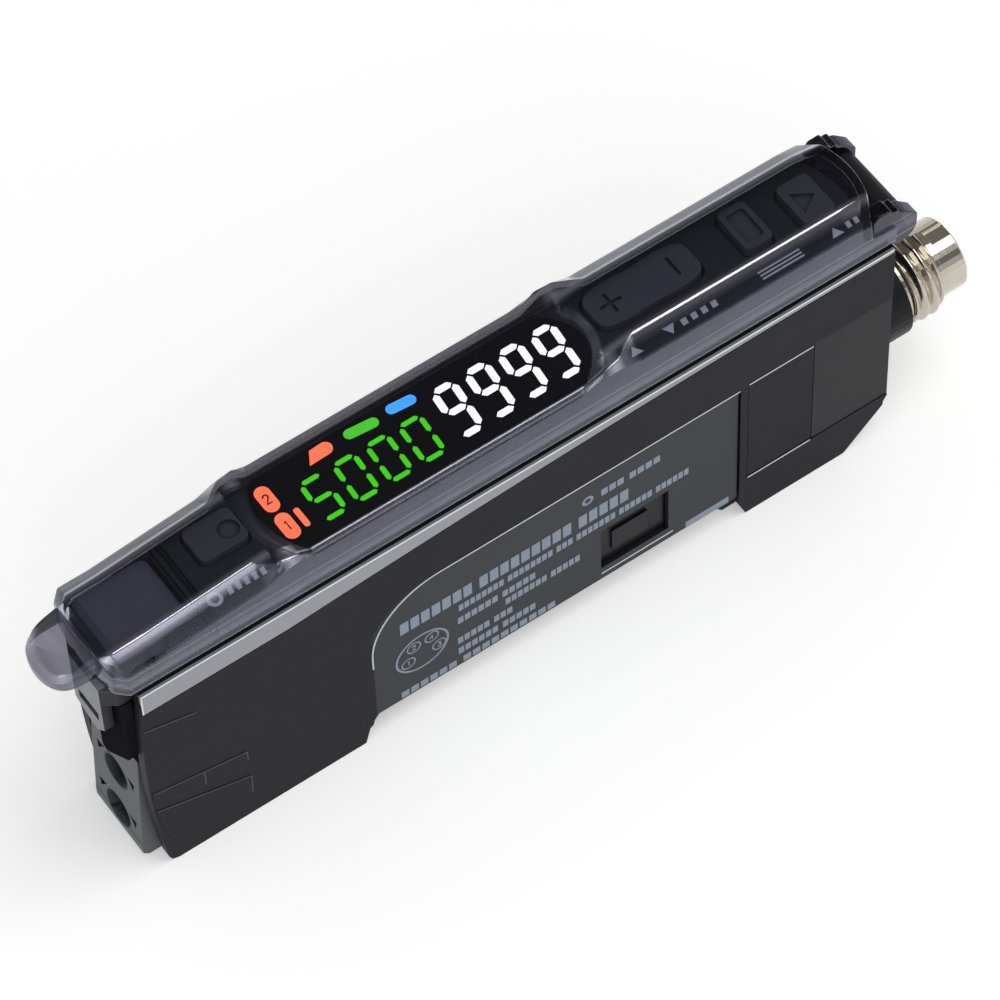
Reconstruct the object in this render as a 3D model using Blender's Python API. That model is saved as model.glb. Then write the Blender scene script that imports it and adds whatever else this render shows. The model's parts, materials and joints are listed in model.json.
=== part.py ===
"""Fibre optic sensor amplifier, 10 mm wide, for a 35 mm rail.

Metres, +Z up. The origin is the middle of the rail seat, the underside of the case
between its two feet. X runs from the fibre end to the plug end, and -Y is the label side.
"""

import math

import bmesh
import bpy
import numpy as np

MM = 0.001

# Joints between pieces
SEAM = 0.08 * MM          # between two pieces that touch
PLAY = 0.25 * MM          # round a piece that moves
PIN_PLAY = 0.05 * MM      # round a pin in its hole

# Case, seen from the side
CASE_WIDTH = 10.0 * MM
WALL = 1.0 * MM
RAIL_SLOT = 35.4 * MM
FRONT_LENGTH = 20.45 * MM     # rail slot to the front edge
REAR_LENGTH = 15.4 * MM       # rail slot to the rear edge
SIDE_HEIGHT = 22.3 * MM       # rail seat to the top of the side walls
FOOT_DEPTH = 2.7 * MM         # how far the feet reach below the rail seat
FRONT_BULGE = 0.9 * MM        # how far the front edge curves back at the bottom
HOOK_REACH = 1.0 * MM         # how far the hooks reach under the rail
HOOK_HEIGHT = 0.9 * MM
RAIL_THICK = 1.35 * MM        # room for the rail's edge above the hooks
REAR_FOOT = 10.0 * MM         # length of the rear foot's sole
REAR_CHAMFER = 3.9 * MM

# Near side
STRIP_HEIGHT = 2.55 * MM      # silver strip at the front
STRIP_TAIL = 0.5 * MM         # silver strip at the rear
STRIP_FLAT = 13.0 * MM        # length of its wide part
STRIP_THICK = 0.25 * MM
LABEL_SINK = 0.35 * MM        # the label field lies this far below the side
LABEL_THICK = 0.1 * MM
LABEL_HEIGHT = 15.3 * MM
LABEL_END = 0.8 * MM          # label field to the clip-in panel
LABEL_CORNER = 6.5 * MM
PANEL_LENGTH = 6.5 * MM       # clip-in panel ahead of the plug housing
HOUSING_LENGTH = 7.7 * MM     # plug housing
HOUSING_HEIGHT = 13.2 * MM
HOUSING_FLOOR = 2.4 * MM      # its underside above the rail seat
PORT_LENGTH = 6.5 * MM        # infra-red port to the neighbour amplifier
PORT_HEIGHT = 5.3 * MM
PORT_X = 7.8 * MM
PORT_Z = 4.35 * MM
PORT_THICK = 0.5 * MM

# Front end
BLOCK_LENGTH = 9.2 * MM
BLOCK_WIDTH = 6.8 * MM
BLOCK_HEIGHT = 13.7 * MM
BLOCK_PROUD = 0.6 * MM        # how far the block stands out of the case
FIBRE_BORE = 2.4 * MM
FIBRE_MOUTH = 3.5 * MM
FIBRE_LOW = 0.2 * MM          # height of the lower hole
FIBRE_PITCH = 5.4 * MM
CLAMP_THICK = 1.6 * MM
CLAMP_TRAVEL = 0.3 * MM
LEVER_PIN = 1.0 * MM
LEVER_BARREL = 1.4 * MM       # radius of the lever's pivot end
LEVER_SETBACK = 5.3 * MM      # case front to the lever's pin
LEVER_RISE = 2.5 * MM         # lever's pin above the side walls
LEVER_PAD = 6.2 * MM          # width of the thumb pad
LEVER_HEAD = 7.6 * MM         # width of the lever below the cover
LEVER_HEAD_DROP = 1.9 * MM
LEVER_ARM = 4.2 * MM          # width of the front arm
LEVER_ARM_Y = -0.85 * MM      # middle of the front arm
LEVER_ARM_DROP = 6.95 * MM
LEVER_THICK = 0.9 * MM
LEVER_REACH = 1.3 * MM        # front arm ahead of the fibre block
LEVER_SLOT = 1.1 * MM
COVER_ROOM = 0.45 * MM        # thumb pad to the inside of the cover
CARRIER_SINK = 0.5 * MM       # carrier behind the pad below the bezel top
CHEEK_RISE = 0.75 * MM        # cheeks above the lever's pin
GUARD_PROUD = 0.2 * MM        # guard ahead of the fibre block
GUARD_LAP = 1.4 * MM          # how far the guard hangs over the block
GUARD_MIDDLE = 0.3 * MM       # its far edge

# Top of the case
BEZEL_WIDTH = 8.4 * MM
BEZEL_RISE = 3.7 * MM         # bezel top above the side walls
BEZEL_SINK = 0.9 * MM         # how far the bezel reaches between the walls
BEZEL_WALL = 0.8 * MM
BEZEL_SETBACK = 8.1 * MM      # case front to the bezel, room for the lever
WINDOW_LENGTH = 29.6 * MM
WINDOW_WIDTH = 7.8 * MM
WINDOW_FRONT = 15.2 * MM      # case front to the window
WINDOW_THICK = 1.05 * MM
WINDOW_SINK = 0.45 * MM
KEY_RISE = 0.8 * MM           # key tops above the bezel
KEY_Y = 1.0 * MM              # the row of keys lies off centre
KEY_TRAVEL = 0.25 * MM
KEY_FLANGE = 0.3 * MM
ENGRAVING = 0.25 * MM         # depth of the marks in the keys
LAMP_LENGTH = 3.6 * MM
FLANGE_THICK = 0.6 * MM
TUNE_SIZE = (4.3 * MM, 3.4 * MM)
TUNE_DIMPLE = 0.9 * MM
TUNE_RISE = 0.5 * MM          # lower than the others, below the cover's first hump
KEY_SPREAD = (0.187, 0.422, 0.313)    # shares of the free length before each rear key
ROCKER_SIZE = (9.8 * MM, 4.0 * MM)
ROCKER_Y = 1.42 * MM
ROCKER_RISE = 0.5 * MM
MODE_SIZE = (2.6 * MM, 4.3 * MM)
OUTPUT_SIZE = (3.0 * MM, 4.3 * MM)
BOARD_THICK = 0.8 * MM
SWITCH_BODY = 1.1 * MM
SWITCH_BUTTON = 0.5 * MM
SWITCH_SIDE = 2.2 * MM

# Main board
BOARD_ROOM = 1.2 * MM         # board to the far wall
POST_RADIUS = 1.1 * MM
POST_INSET = 4.0 * MM
LINK_SIZE = (12.0 * MM, 1.6 * MM, 2.9 * MM)
PROCESSOR_SIZE = (7.0 * MM, 7.0 * MM)
MEMORY_SIZE = (4.0 * MM, 5.0 * MM)
SUPPLY_SIZE = (4.0 * MM, 4.0 * MM)
CHIP_THICK = 1.0 * MM
CHIP_GAP = 1.2 * MM           # link to processor
SHIELD_SIZE = (7.0 * MM, 8.0 * MM)
SHIELD_THICK = 2.2 * MM
DRUM_RADIUS = 2.3 * MM
DRUM_LENGTH = 2.4 * MM
CAN_RADIUS = 1.5 * MM
HOLDER_LENGTH = 3.4 * MM

# Protective cover
COVER_WIDTH = 9.9 * MM
COVER_WALL = 0.5 * MM
SKIRT_GAP = 0.9 * MM          # side walls to the cover's lower edge
COVER_FRONT = 1.15 * MM       # cover ahead of the case front
COVER_FRONT_TOP = 4.85 * MM   # heights are above the side walls
COVER_HUMP = 5.85 * MM
COVER_FLAT = 5.2 * MM
COVER_REAR = 6.45 * MM
COVER_RIDGE = 3.2 * MM        # half width of the flat on top of the humps
COVER_CHAMFER = 1.5 * MM
CRESCENT_FRONT = 1.85 * MM    # how far the display field's ends bow, at the cover's sides
CRESCENT_REAR = 3.6 * MM
CRESCENT_STEP = 1.25 * MM     # length of the front slope down to the display field
CRESCENT_EAR = 1.45 * MM      # full width of the humps beside the display field
CRESCENT_FADE = 2.0 * MM      # and from there to their chamfers
REAR_BOW = 1.5 * MM
REAR_SETBACK = 2.5 * MM       # cover's rear wall ahead of the case rear
NOSE_LENGTH = 4.0 * MM
NOSE_WIDTH = 4.8 * MM
NOSE_RISE = 0.55 * MM        # its underside above the cover's lower edge
NOSE_ROOT = 2.8 * MM
NOSE_TIP = 1.4 * MM
HINGE_BACK = 0.8 * MM         # hinge axis behind the case
HINGE_RISE = 1.4 * MM         # hinge axis above the side walls
HINGE_PIN = 1.2 * MM
LUG_RADIUS = 1.5 * MM
LUG_THICK = 0.9 * MM
LUG_HEIGHT = 3.5 * MM
LUG_FIN = 2.9 * MM            # fin ahead of the hinge axis

# Plug
PLUG_Z = 9.0 * MM
NECK_RADIUS = 4.2 * MM
NECK_LENGTH = 3.0 * MM
RING_RADIUS = 3.6 * MM
THREAD_RADIUS = 3.97 * MM     # M8 x 1
THREAD_PITCH = 1.0 * MM
THREAD_DEPTH = 0.55 * MM
THREAD_LENGTH = 3.0 * MM
COLLAR_RADIUS = 3.2 * MM
COLLAR_LENGTH = 2.3 * MM
PLUG_BORE = 2.75 * MM
CONTACT_RADIUS = 0.5 * MM
CARRIER_ROOT = 2.0 * MM       # contact carrier ahead of the case rear
CARRIER_FACE = 1.0 * MM       # and beyond the neck
CONTACT_CIRCLE = 1.45 * MM
ROUND = 40

# Places worked out from the sizes above
half_width = CASE_WIDTH / 2
slot_end = RAIL_SLOT / 2
case_front = -slot_end - FRONT_LENGTH
case_rear = slot_end + REAR_LENGTH
sole = -FOOT_DEPTH
inner_far = half_width - WALL
lid_inside = -half_width + WALL
housing_front = case_rear - HOUSING_LENGTH
housing_top = HOUSING_FLOOR + HOUSING_HEIGHT
panel_front = housing_front - PANEL_LENGTH
block_front = case_front - BLOCK_PROUD
block_rear = block_front + BLOCK_LENGTH
bezel_top = SIDE_HEIGHT + BEZEL_RISE
bezel_bottom = SIDE_HEIGHT - BEZEL_SINK
bezel_front = case_front + BEZEL_SETBACK
bezel_rear = case_rear - 1.4 * MM
bezel_ceiling = bezel_top - BEZEL_WALL
window_low = case_front + WINDOW_FRONT
window_high = window_low + WINDOW_LENGTH
board_top = SIDE_HEIGHT - 0.1 * MM
board_bottom = board_top - BOARD_THICK
tune_x = bezel_front + BEZEL_WALL + 0.15 * MM + PLAY + KEY_FLANGE + TUNE_SIZE[0] / 2
key_room = bezel_rear - BEZEL_WALL - PLAY - KEY_FLANGE - window_high
key_room -= ROCKER_SIZE[0] + MODE_SIZE[0] + OUTPUT_SIZE[0]
rocker_x = window_high + KEY_SPREAD[0] * key_room + ROCKER_SIZE[0] / 2
mode_x = rocker_x + (ROCKER_SIZE[0] + MODE_SIZE[0]) / 2 + KEY_SPREAD[1] * key_room
output_x = mode_x + (MODE_SIZE[0] + OUTPUT_SIZE[0]) / 2 + KEY_SPREAD[2] * key_room
flange_top = bezel_ceiling - 0.15 * MM
key_foot = board_top + SWITCH_BODY + SWITCH_BUTTON + KEY_TRAVEL + 0.15 * MM
skirt = SIDE_HEIGHT + SKIRT_GAP
cover_front = case_front - COVER_FRONT
cover_end = case_rear - REAR_SETBACK
hinge_x = case_rear + HINGE_BACK
hinge_z = SIDE_HEIGHT + HINGE_RISE
lever_x = case_front + LEVER_SETBACK
lever_z = SIDE_HEIGHT + LEVER_RISE
lever_under = skirt - 0.55 * MM
lever_front = block_front - LEVER_REACH
block_top = sole + 0.1 * MM + BLOCK_HEIGHT
rocker_z = bezel_ceiling - 0.4 * MM
neck_end = case_rear + NECK_LENGTH
thread_start = neck_end + 0.75 * MM
thread_end = thread_start + THREAD_LENGTH
plug_end = thread_end + 0.4 * MM + COLLAR_LENGTH


# Shapes

def clear_scene():
    for item in list(bpy.data.objects):
        bpy.data.objects.remove(item, do_unlink=True)


def place(along, across, u, v):
    """A point from its distance along an axis and its two coordinates across it."""
    return {"X": (along, u, v), "Y": (u, along, v), "Z": (u, v, along)}[across]


def to_object(name, mesh_maker):
    mesh = bpy.data.meshes.new(name)
    mesh_maker.normal_update()
    bmesh.ops.recalc_face_normals(mesh_maker, faces=mesh_maker.faces)
    mesh_maker.to_mesh(mesh)
    mesh_maker.free()
    item = bpy.data.objects.new(name, mesh)
    bpy.context.scene.collection.objects.link(item)
    return item


def prism(name, outline, low, high, axis="Y"):
    """A closed outline pushed along an axis."""
    maker = bmesh.new()
    bottom = [maker.verts.new(place(low, axis, u, v)) for u, v in outline]
    top = [maker.verts.new(place(high, axis, u, v)) for u, v in outline]
    maker.faces.new(bottom)
    maker.faces.new(top)
    for index in range(len(outline)):
        after = (index + 1) % len(outline)
        maker.faces.new((bottom[index], bottom[after], top[after], top[index]))
    return to_object(name, maker)


def box(name, x, y, z):
    return prism(name, [(x[0], z[0]), (x[1], z[0]), (x[1], z[1]), (x[0], z[1])], y[0], y[1])


def circle(centre, radius, count=ROUND, start=0.0, sweep=math.tau):
    """Points on a circle or, with a smaller sweep, on an arc with both its ends."""
    whole = abs(sweep) >= math.tau
    steps = count if whole else count - 1
    return [
        (
            centre[0] + radius * math.cos(start + sweep * index / steps),
            centre[1] + radius * math.sin(start + sweep * index / steps),
        )
        for index in range(count)
    ]


def cylinder(name, centre, radius, low, high, axis, count=ROUND):
    return prism(name, circle(centre, radius, count), low, high, axis)


def rounded_rectangle(centre, size, radius, corner=6):
    """A rectangle with round corners, anticlockwise."""
    points = []
    for turn, (side_u, side_v) in enumerate(((1, 1), (-1, 1), (-1, -1), (1, -1))):
        middle = (
            centre[0] + side_u * (size[0] / 2 - radius),
            centre[1] + side_v * (size[1] / 2 - radius),
        )
        points += circle(middle, radius, corner, turn * math.pi / 2, math.pi / 2)
    return points


def lathe(name, profile, centre, closed, count=ROUND):
    """A profile of (x, radius) points turned about a line along X; centre is its (y, z)."""
    maker = bmesh.new()
    rings = []
    for along, radius in profile:
        if radius == 0.0:
            rings.append([maker.verts.new((along, centre[0], centre[1]))])
        else:
            rings.append(
                [maker.verts.new((along, y, z)) for y, z in circle(centre, radius, count)]
            )
    pairs = list(zip(rings, rings[1:]))
    if closed:
        pairs.append((rings[-1], rings[0]))
    for first, second in pairs:
        for index in range(count):
            after = (index + 1) % count
            corners = [
                first[index % len(first)],
                first[after % len(first)],
                second[after % len(second)],
                second[index % len(second)],
            ]
            corners = [spot for place_, spot in enumerate(corners) if spot not in corners[:place_]]
            if len(corners) > 2:
                maker.faces.new(corners)
    return to_object(name, maker)


def combine(target, operation, others):
    """Joins or cuts pieces, then removes them."""
    for other in others:
        change = target.modifiers.new(operation.lower(), "BOOLEAN")
        change.operation = operation
        change.solver = "EXACT"
        change.object = other
    settled = target.evaluated_get(bpy.context.evaluated_depsgraph_get())
    mesh = bpy.data.meshes.new_from_object(settled)
    target.modifiers.clear()
    target.data = mesh
    for other in others:
        bpy.data.objects.remove(other, do_unlink=True)
    return target


def cut(target, *others):
    return combine(target, "DIFFERENCE", others)


def join(target, *others):
    return combine(target, "UNION", others)


def finish(item, material, angle=math.radians(32)):
    item.data.materials.clear()
    item.data.materials.append(material)
    for face in item.data.polygons:
        face.material_index = 0
        face.use_smooth = True
    item.data.set_sharp_from_angle(angle=angle)
    return item


def material(name, colour, roughness, metallic=0.0, alpha=1.0):
    made = bpy.data.materials.new(name)
    made.use_nodes = True
    shader = made.node_tree.nodes["Principled BSDF"]
    shader.inputs["Base Color"].default_value = (*colour, 1.0)
    shader.inputs["Roughness"].default_value = roughness
    shader.inputs["Metallic"].default_value = metallic
    shader.inputs["Alpha"].default_value = alpha
    made.diffuse_color = (*colour, alpha)
    return made


def set_origin(item, point):
    """Moves an object's origin to its joint axis and leaves its mesh in place."""
    shift = np.array(point)
    count = len(item.data.vertices)
    spots = np.empty(count * 3)
    item.data.vertices.foreach_get("co", spots)
    item.data.vertices.foreach_set("co", (spots.reshape(-1, 3) - shift).ravel())
    item.location = point


# Case

def front_edge(height):
    """X of the curved front edge at a height."""
    middle = (SIDE_HEIGHT + 0.05 * SIDE_HEIGHT) / 2
    return case_front + FRONT_BULGE * ((height - middle) / (middle + FOOT_DEPTH)) ** 2


def side_outline():
    """The case from the side: curved front, rail slot between two feet, chamfered rear."""
    toe = 0.9 * MM
    points = [(front_edge(height), height) for height in np.linspace(SIDE_HEIGHT, sole + toe, 14)]
    start = front_edge(sole + toe)
    points += [(start + toe * 0.3, sole + toe * 0.3), (start + toe, sole)]
    points += [
        (-slot_end - 1.0 * MM, sole),
        (-slot_end - 0.5 * MM, -0.9 * MM),
        (-slot_end - 0.2 * MM, -0.75 * MM),
        (-slot_end, 0.0),
        (slot_end, 0.0),
        (slot_end + 1.1 * MM, sole),
        (slot_end + 1.1 * MM + REAR_FOOT, sole),
        (slot_end + 1.1 * MM + REAR_FOOT + REAR_CHAMFER, sole + REAR_CHAMFER * 0.95),
        (case_rear - 0.35 * MM, HOUSING_FLOOR - 0.9 * MM),
        (case_rear, HOUSING_FLOOR - 0.35 * MM),
        (case_rear, SIDE_HEIGHT),
    ]
    return points


def case_pocket():
    """The hollow of the case from the side, open at the top and at the front."""
    over = SIDE_HEIGHT + WALL
    rear_inside = case_rear - WALL
    heel = slot_end + 1.1 * MM + REAR_FOOT
    return [
        (case_front - WALL, over),
        (case_front - WALL, sole - WALL),
        (block_rear + SEAM, sole - WALL),
        (block_rear + SEAM, sole + WALL),
        (-slot_end - 1.1 * MM - WALL, sole + WALL),
        (-slot_end - 0.3 * MM - WALL, WALL),
        (slot_end + WALL, WALL),
        (slot_end + 1.2 * MM + WALL, sole + WALL),
        (heel - 0.4 * WALL, sole + WALL),
        (rear_inside, HOUSING_FLOOR - 0.3 * MM),
        (rear_inside, over),
    ]


def rail_hooks():
    """Two lips between the side walls, one at each end of the slot, that reach under the rail."""
    hooks = []
    for side in (-1, 1):
        wall = side * slot_end
        root = wall + side * (0.9 * MM + WALL)
        tip = wall - side * HOOK_REACH
        top = -RAIL_THICK
        low = top - HOOK_HEIGHT
        outline = [
            (root, low),
            (tip + side * 0.5 * MM, low),
            (tip, top - 0.3 * MM),
            (tip, top),
            (wall + side * 0.1 * MM, top),
            (root, top + 0.2 * MM),
        ]
        hooks.append(prism("hook", outline, lid_inside + SEAM, inner_far + 0.2 * MM))
    return hooks


def hook_pockets():
    """Shallow relief above each hook, so that the seat face ends where the rail goes in."""
    depth = 0.2 * MM
    cutters = []
    for side in (-1, 1):
        reach = sorted((side * (slot_end - HOOK_REACH - 0.1 * MM), side * (slot_end + 0.01 * MM)))
        cutters.append(box("relief", reach, (-half_width - WALL, half_width + WALL), (-WALL, depth)))
    return cutters


def port_cutter(low, high):
    return box(
        "port_hole",
        (PORT_X - PORT_LENGTH / 2, PORT_X + PORT_LENGTH / 2),
        (low, high),
        (PORT_Z - PORT_HEIGHT / 2, PORT_Z + PORT_HEIGHT / 2),
    )


def housing_cutter(low, high, start):
    """The opening for the plug housing, open to the rear."""
    return box(
        "housing_hole",
        (start, case_rear + WALL),
        (low, high),
        (HOUSING_FLOOR - SEAM, housing_top + SEAM),
    )


def build_main_case(finish_material):
    """Far wall and edge walls in one moulding, open to the near side, with board posts."""
    case = prism("main_case", side_outline(), lid_inside + SEAM, half_width)
    pocket = prism("pocket", case_pocket(), -half_width - WALL, inner_far)
    cut(case, pocket)
    join(case, *rail_hooks())
    cut(case, *hook_pockets())
    cut(
        case,
        housing_cutter(-half_width - WALL, half_width + WALL, housing_front - SEAM),
        port_cutter(0.0, half_width + WALL),
    )
    posts = [
        cylinder("post", spot, POST_RADIUS, board_far() + SEAM, half_width - WALL / 2, "Y", 24)
        for spot in board_posts()
    ]
    join(case, *posts)
    return finish(case, finish_material)


def board_far():
    """Far face of the upright board."""
    return inner_far - BOARD_ROOM


def board_posts():
    low = POST_INSET
    high = board_bottom - POST_INSET
    return [
        (block_rear + 6.0 * MM, low + 2.0 * MM),
        (block_rear + 6.0 * MM, high),
        (housing_front - 5.0 * MM, high),
        (housing_front - 7.0 * MM, low),
    ]


def strip_outline(margin):
    """The silver strip: level top, wide at the front, tapering to the rear after a kink."""
    top = SIDE_HEIGHT - 0.02 * MM + margin
    front = case_front + 0.45 * MM - margin
    knee = front + STRIP_FLAT
    rear = case_rear - 0.1 * MM + margin
    steps = np.linspace(0.0, 1.0, 16)
    lower = [
        (
            knee + (rear - knee) * step,
            SIDE_HEIGHT - STRIP_TAIL - (STRIP_HEIGHT - STRIP_TAIL) * (1 - step) ** 2 - margin,
        )
        for step in steps
    ]
    return [(front, top), (front, SIDE_HEIGHT - STRIP_HEIGHT - margin)] + lower + [(rear, top)]


def label_outline(margin):
    """The label field: a large arc at its upper front corner."""
    low = margin
    left = -slot_end + 0.2 * MM + margin
    right = panel_front - LABEL_END - margin
    top = LABEL_HEIGHT - margin
    rise = LABEL_CORNER * 0.75
    arc = [
        (left + LABEL_CORNER * (1 + u), top - rise * (1 - v))
        for u, v in circle((0.0, 0.0), 1.0, 14, math.pi, -math.pi / 2)
    ]
    return [(left, low)] + arc + [(right, top), (right, low)]


def build_side_cover(finish_material):
    """Near wall of the case, with seats for the strip, the label, the port and the panel."""
    lid = prism("side_cover", side_outline(), -half_width, lid_inside)
    outside = -half_width - WALL
    field = label_outline(0.0)
    field[0] = (field[0][0], -WALL)
    field[-1] = (panel_front - LABEL_END, -WALL)
    cut(
        lid,
        prism("strip_seat", strip_outline(SEAM), outside, -half_width + STRIP_THICK + SEAM),
        prism("label_seat", field, outside, -half_width + LABEL_SINK),
        housing_cutter(outside, 0.0, panel_front - SEAM),
        port_cutter(outside, 0.0),
        *hook_pockets(),
    )
    return finish(lid, finish_material)


def build_strip(finish_material):
    strip = prism("silver_strip", strip_outline(0.0), -half_width, -half_width + STRIP_THICK)
    return finish(strip, finish_material)


def build_label(finish_material):
    face = -half_width + LABEL_SINK - SEAM
    label = prism("label_plate", label_outline(0.12 * MM), face - LABEL_THICK, face)
    grow = SEAM
    hole = box(
        "label_hole",
        (PORT_X - PORT_LENGTH / 2 - grow, PORT_X + PORT_LENGTH / 2 + grow),
        (-half_width, 0.0),
        (PORT_Z - PORT_HEIGHT / 2 - grow, PORT_Z + PORT_HEIGHT / 2 + grow),
    )
    cut(label, hole)
    return finish(label, finish_material)


def build_service_panel(finish_material):
    """Clip-in panel ahead of the plug housing, with bevelled long edges."""
    bevel = 0.15 * MM
    low = HOUSING_FLOOR
    outside = -half_width + 0.05 * MM
    outline = [
        (outside + bevel, low),
        (lid_inside, low),
        (lid_inside, housing_top),
        (outside + bevel, housing_top),
        (outside, housing_top - bevel),
        (outside, low + bevel),
    ]
    panel = prism("service_panel", outline, panel_front, housing_front - SEAM, "X")
    return finish(panel, finish_material)


def build_port_window(name, outer, inward, finish_material):
    """Infra-red window: a plate with a raised step inside its frame."""
    half = (PORT_LENGTH / 2 - SEAM, PORT_HEIGHT / 2 - SEAM)
    plate = box(
        name,
        (PORT_X - half[0], PORT_X + half[0]),
        sorted((outer, outer + inward * PORT_THICK)),
        (PORT_Z - half[1], PORT_Z + half[1]),
    )
    step = box(
        "step",
        (PORT_X - half[0] * 0.65, PORT_X + half[0] * 0.45),
        sorted((outer - inward * 0.2 * MM, outer + inward * PORT_THICK / 2)),
        (PORT_Z - half[1] * 0.5, PORT_Z + half[1] * 0.5),
    )
    join(plate, step)
    return finish(plate, finish_material)


# Plug end

def build_plug_housing(finish_material):
    """Plug housing: a block through both side walls, with a round neck and a bored seat."""
    flank = half_width - 0.05 * MM
    housing = box(
        "plug_housing",
        (housing_front, case_rear),
        (-flank, flank),
        (HOUSING_FLOOR, housing_top),
    )
    neck = cylinder("neck", (0.0, PLUG_Z), NECK_RADIUS, case_rear - WALL, neck_end, "X")
    join(housing, neck)
    room = box(
        "room",
        (housing_front - WALL, case_rear - 2.2 * MM),
        (-flank + WALL, flank - WALL),
        (HOUSING_FLOOR + WALL, housing_top - WALL),
    )
    seat = cylinder(
        "seat", (0.0, PLUG_Z), RING_RADIUS - 0.3 * MM + SEAM, housing_front, neck_end + WALL, "X"
    )
    cut(housing, room, seat)
    return finish(housing, finish_material)


def build_plug_shell(finish_material):
    """Threaded shell: flange, M8 thread cut as one helix, undercut and keyed collar."""
    core = THREAD_RADIUS - THREAD_DEPTH
    shank = RING_RADIUS - 0.3 * MM
    steps = 25
    around = np.linspace(0.0, math.tau, ROUND, endpoint=False)
    rings = [(case_rear - 1.5 * MM, PLUG_BORE), (case_rear - 1.5 * MM, shank)]
    rings += [(neck_end + SEAM, shank), (neck_end + SEAM, RING_RADIUS)]
    rings += [(neck_end + 0.5 * MM, RING_RADIUS), (neck_end + 0.5 * MM, core - 0.2 * MM)]
    rings += [(thread_start - 0.02 * MM, core - 0.2 * MM)]
    tail = [(thread_end + 0.02 * MM, core - 0.15 * MM), (thread_end + 0.4 * MM, core - 0.15 * MM)]
    tail += [(thread_end + 0.4 * MM, COLLAR_RADIUS), (plug_end - 0.2 * MM, COLLAR_RADIUS)]
    tail += [(plug_end, COLLAR_RADIUS - 0.2 * MM), (plug_end, PLUG_BORE)]
    maker = bmesh.new()

    def ring(along, radii):
        return [
            maker.verts.new((along, radius * math.cos(turn), PLUG_Z + radius * math.sin(turn)))
            for radius, turn in zip(radii, around)
        ]

    made = [ring(along, [radius] * ROUND) for along, radius in rings]
    for along in np.linspace(thread_start, thread_end, steps):
        ramp = min(along - thread_start, thread_end - along) / (0.3 * THREAD_PITCH)
        phase = (along - thread_start) / THREAD_PITCH - around / math.tau
        tooth = 1.0 - np.abs(((phase % 1.0) - 0.5) * 2.0)
        made.append(ring(along, core + THREAD_DEPTH * min(ramp, 1.0) * np.clip(tooth * 1.25, 0, 1)))
    made += [ring(along, [radius] * ROUND) for along, radius in tail]
    for first, second in zip(made, made[1:] + made[:1]):
        for index in range(ROUND):
            after = (index + 1) % ROUND
            maker.faces.new((first[index], first[after], second[after], second[index]))
    shell = to_object("plug_shell", maker)
    key = box(
        "key",
        (thread_end + 0.7 * MM, plug_end + WALL),
        (-0.7 * MM, 0.7 * MM),
        (PLUG_Z + COLLAR_RADIUS - 0.35 * MM, PLUG_Z + COLLAR_RADIUS + WALL),
    )
    cut(shell, key)
    return finish(shell, finish_material)


def contact_spots():
    return circle((0.0, PLUG_Z), CONTACT_CIRCLE, 4, math.radians(45))


def build_contact_carrier(finish_material):
    """Moulded plug core that holds the four contacts."""
    start = case_rear - CARRIER_ROOT
    face = neck_end + CARRIER_FACE
    carrier = cylinder("contact_carrier", (0.0, PLUG_Z), PLUG_BORE - SEAM, start, face, "X")
    cuts = [
        cylinder("hole", spot, CONTACT_RADIUS + SEAM, start - WALL, plug_end, "X", 20)
        for spot in contact_spots()
    ]
    cut(carrier, *cuts)
    return finish(carrier, finish_material)


def build_contacts(finish_material):
    """Four contact pins with rounded tips and thinner solder tails."""
    pins = []
    tip = plug_end - 1.0 * MM
    tail = connector_board_rear() + 0.1 * MM
    for number, spot in enumerate(contact_spots(), 1):
        profile = [
            (tail, 0.0),
            (tail, CONTACT_RADIUS * 0.6),
            (case_rear - 2.6 * MM, CONTACT_RADIUS * 0.6),
            (case_rear - 2.6 * MM, CONTACT_RADIUS),
            (tip - CONTACT_RADIUS * 0.8, CONTACT_RADIUS),
            (tip - CONTACT_RADIUS * 0.2, CONTACT_RADIUS * 0.6),
            (tip, 0.0),
        ]
        pin = lathe(f"contact_pin_{number}", profile, spot, False, 12)
        pins.append(finish(pin, finish_material))
    return pins


def build_seal_ring(finish_material):
    """Rubber ring in the groove behind the thread."""
    groove = THREAD_RADIUS - THREAD_DEPTH - 0.2 * MM
    thick = 0.1 * MM
    middle = (neck_end + 0.5 * MM + thread_start) / 2
    radius = groove + SEAM + thick
    profile = [(middle + u * 0.9, v + radius) for u, v in circle((0.0, 0.0), thick, 6)]
    return finish(lathe("seal_ring", profile, (0.0, PLUG_Z), True), finish_material)


def connector_board_rear():
    return housing_front + 0.6 * MM + BOARD_THICK


def build_connector_board(finish_material):
    """Small upright board across the case, where the contacts are soldered."""
    width = half_width - WALL - 0.4 * MM
    board = box(
        "connector_board",
        (connector_board_rear() - BOARD_THICK, connector_board_rear()),
        (-width, width),
        (HOUSING_FLOOR + WALL + 0.3 * MM, housing_top - WALL - 0.3 * MM),
    )
    return finish(board, finish_material)


# Fibre end

def fibre_heights():
    return (FIBRE_LOW, FIBRE_LOW + FIBRE_PITCH)


def clamp_x():
    return block_front + BLOCK_LENGTH * 0.45


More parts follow.
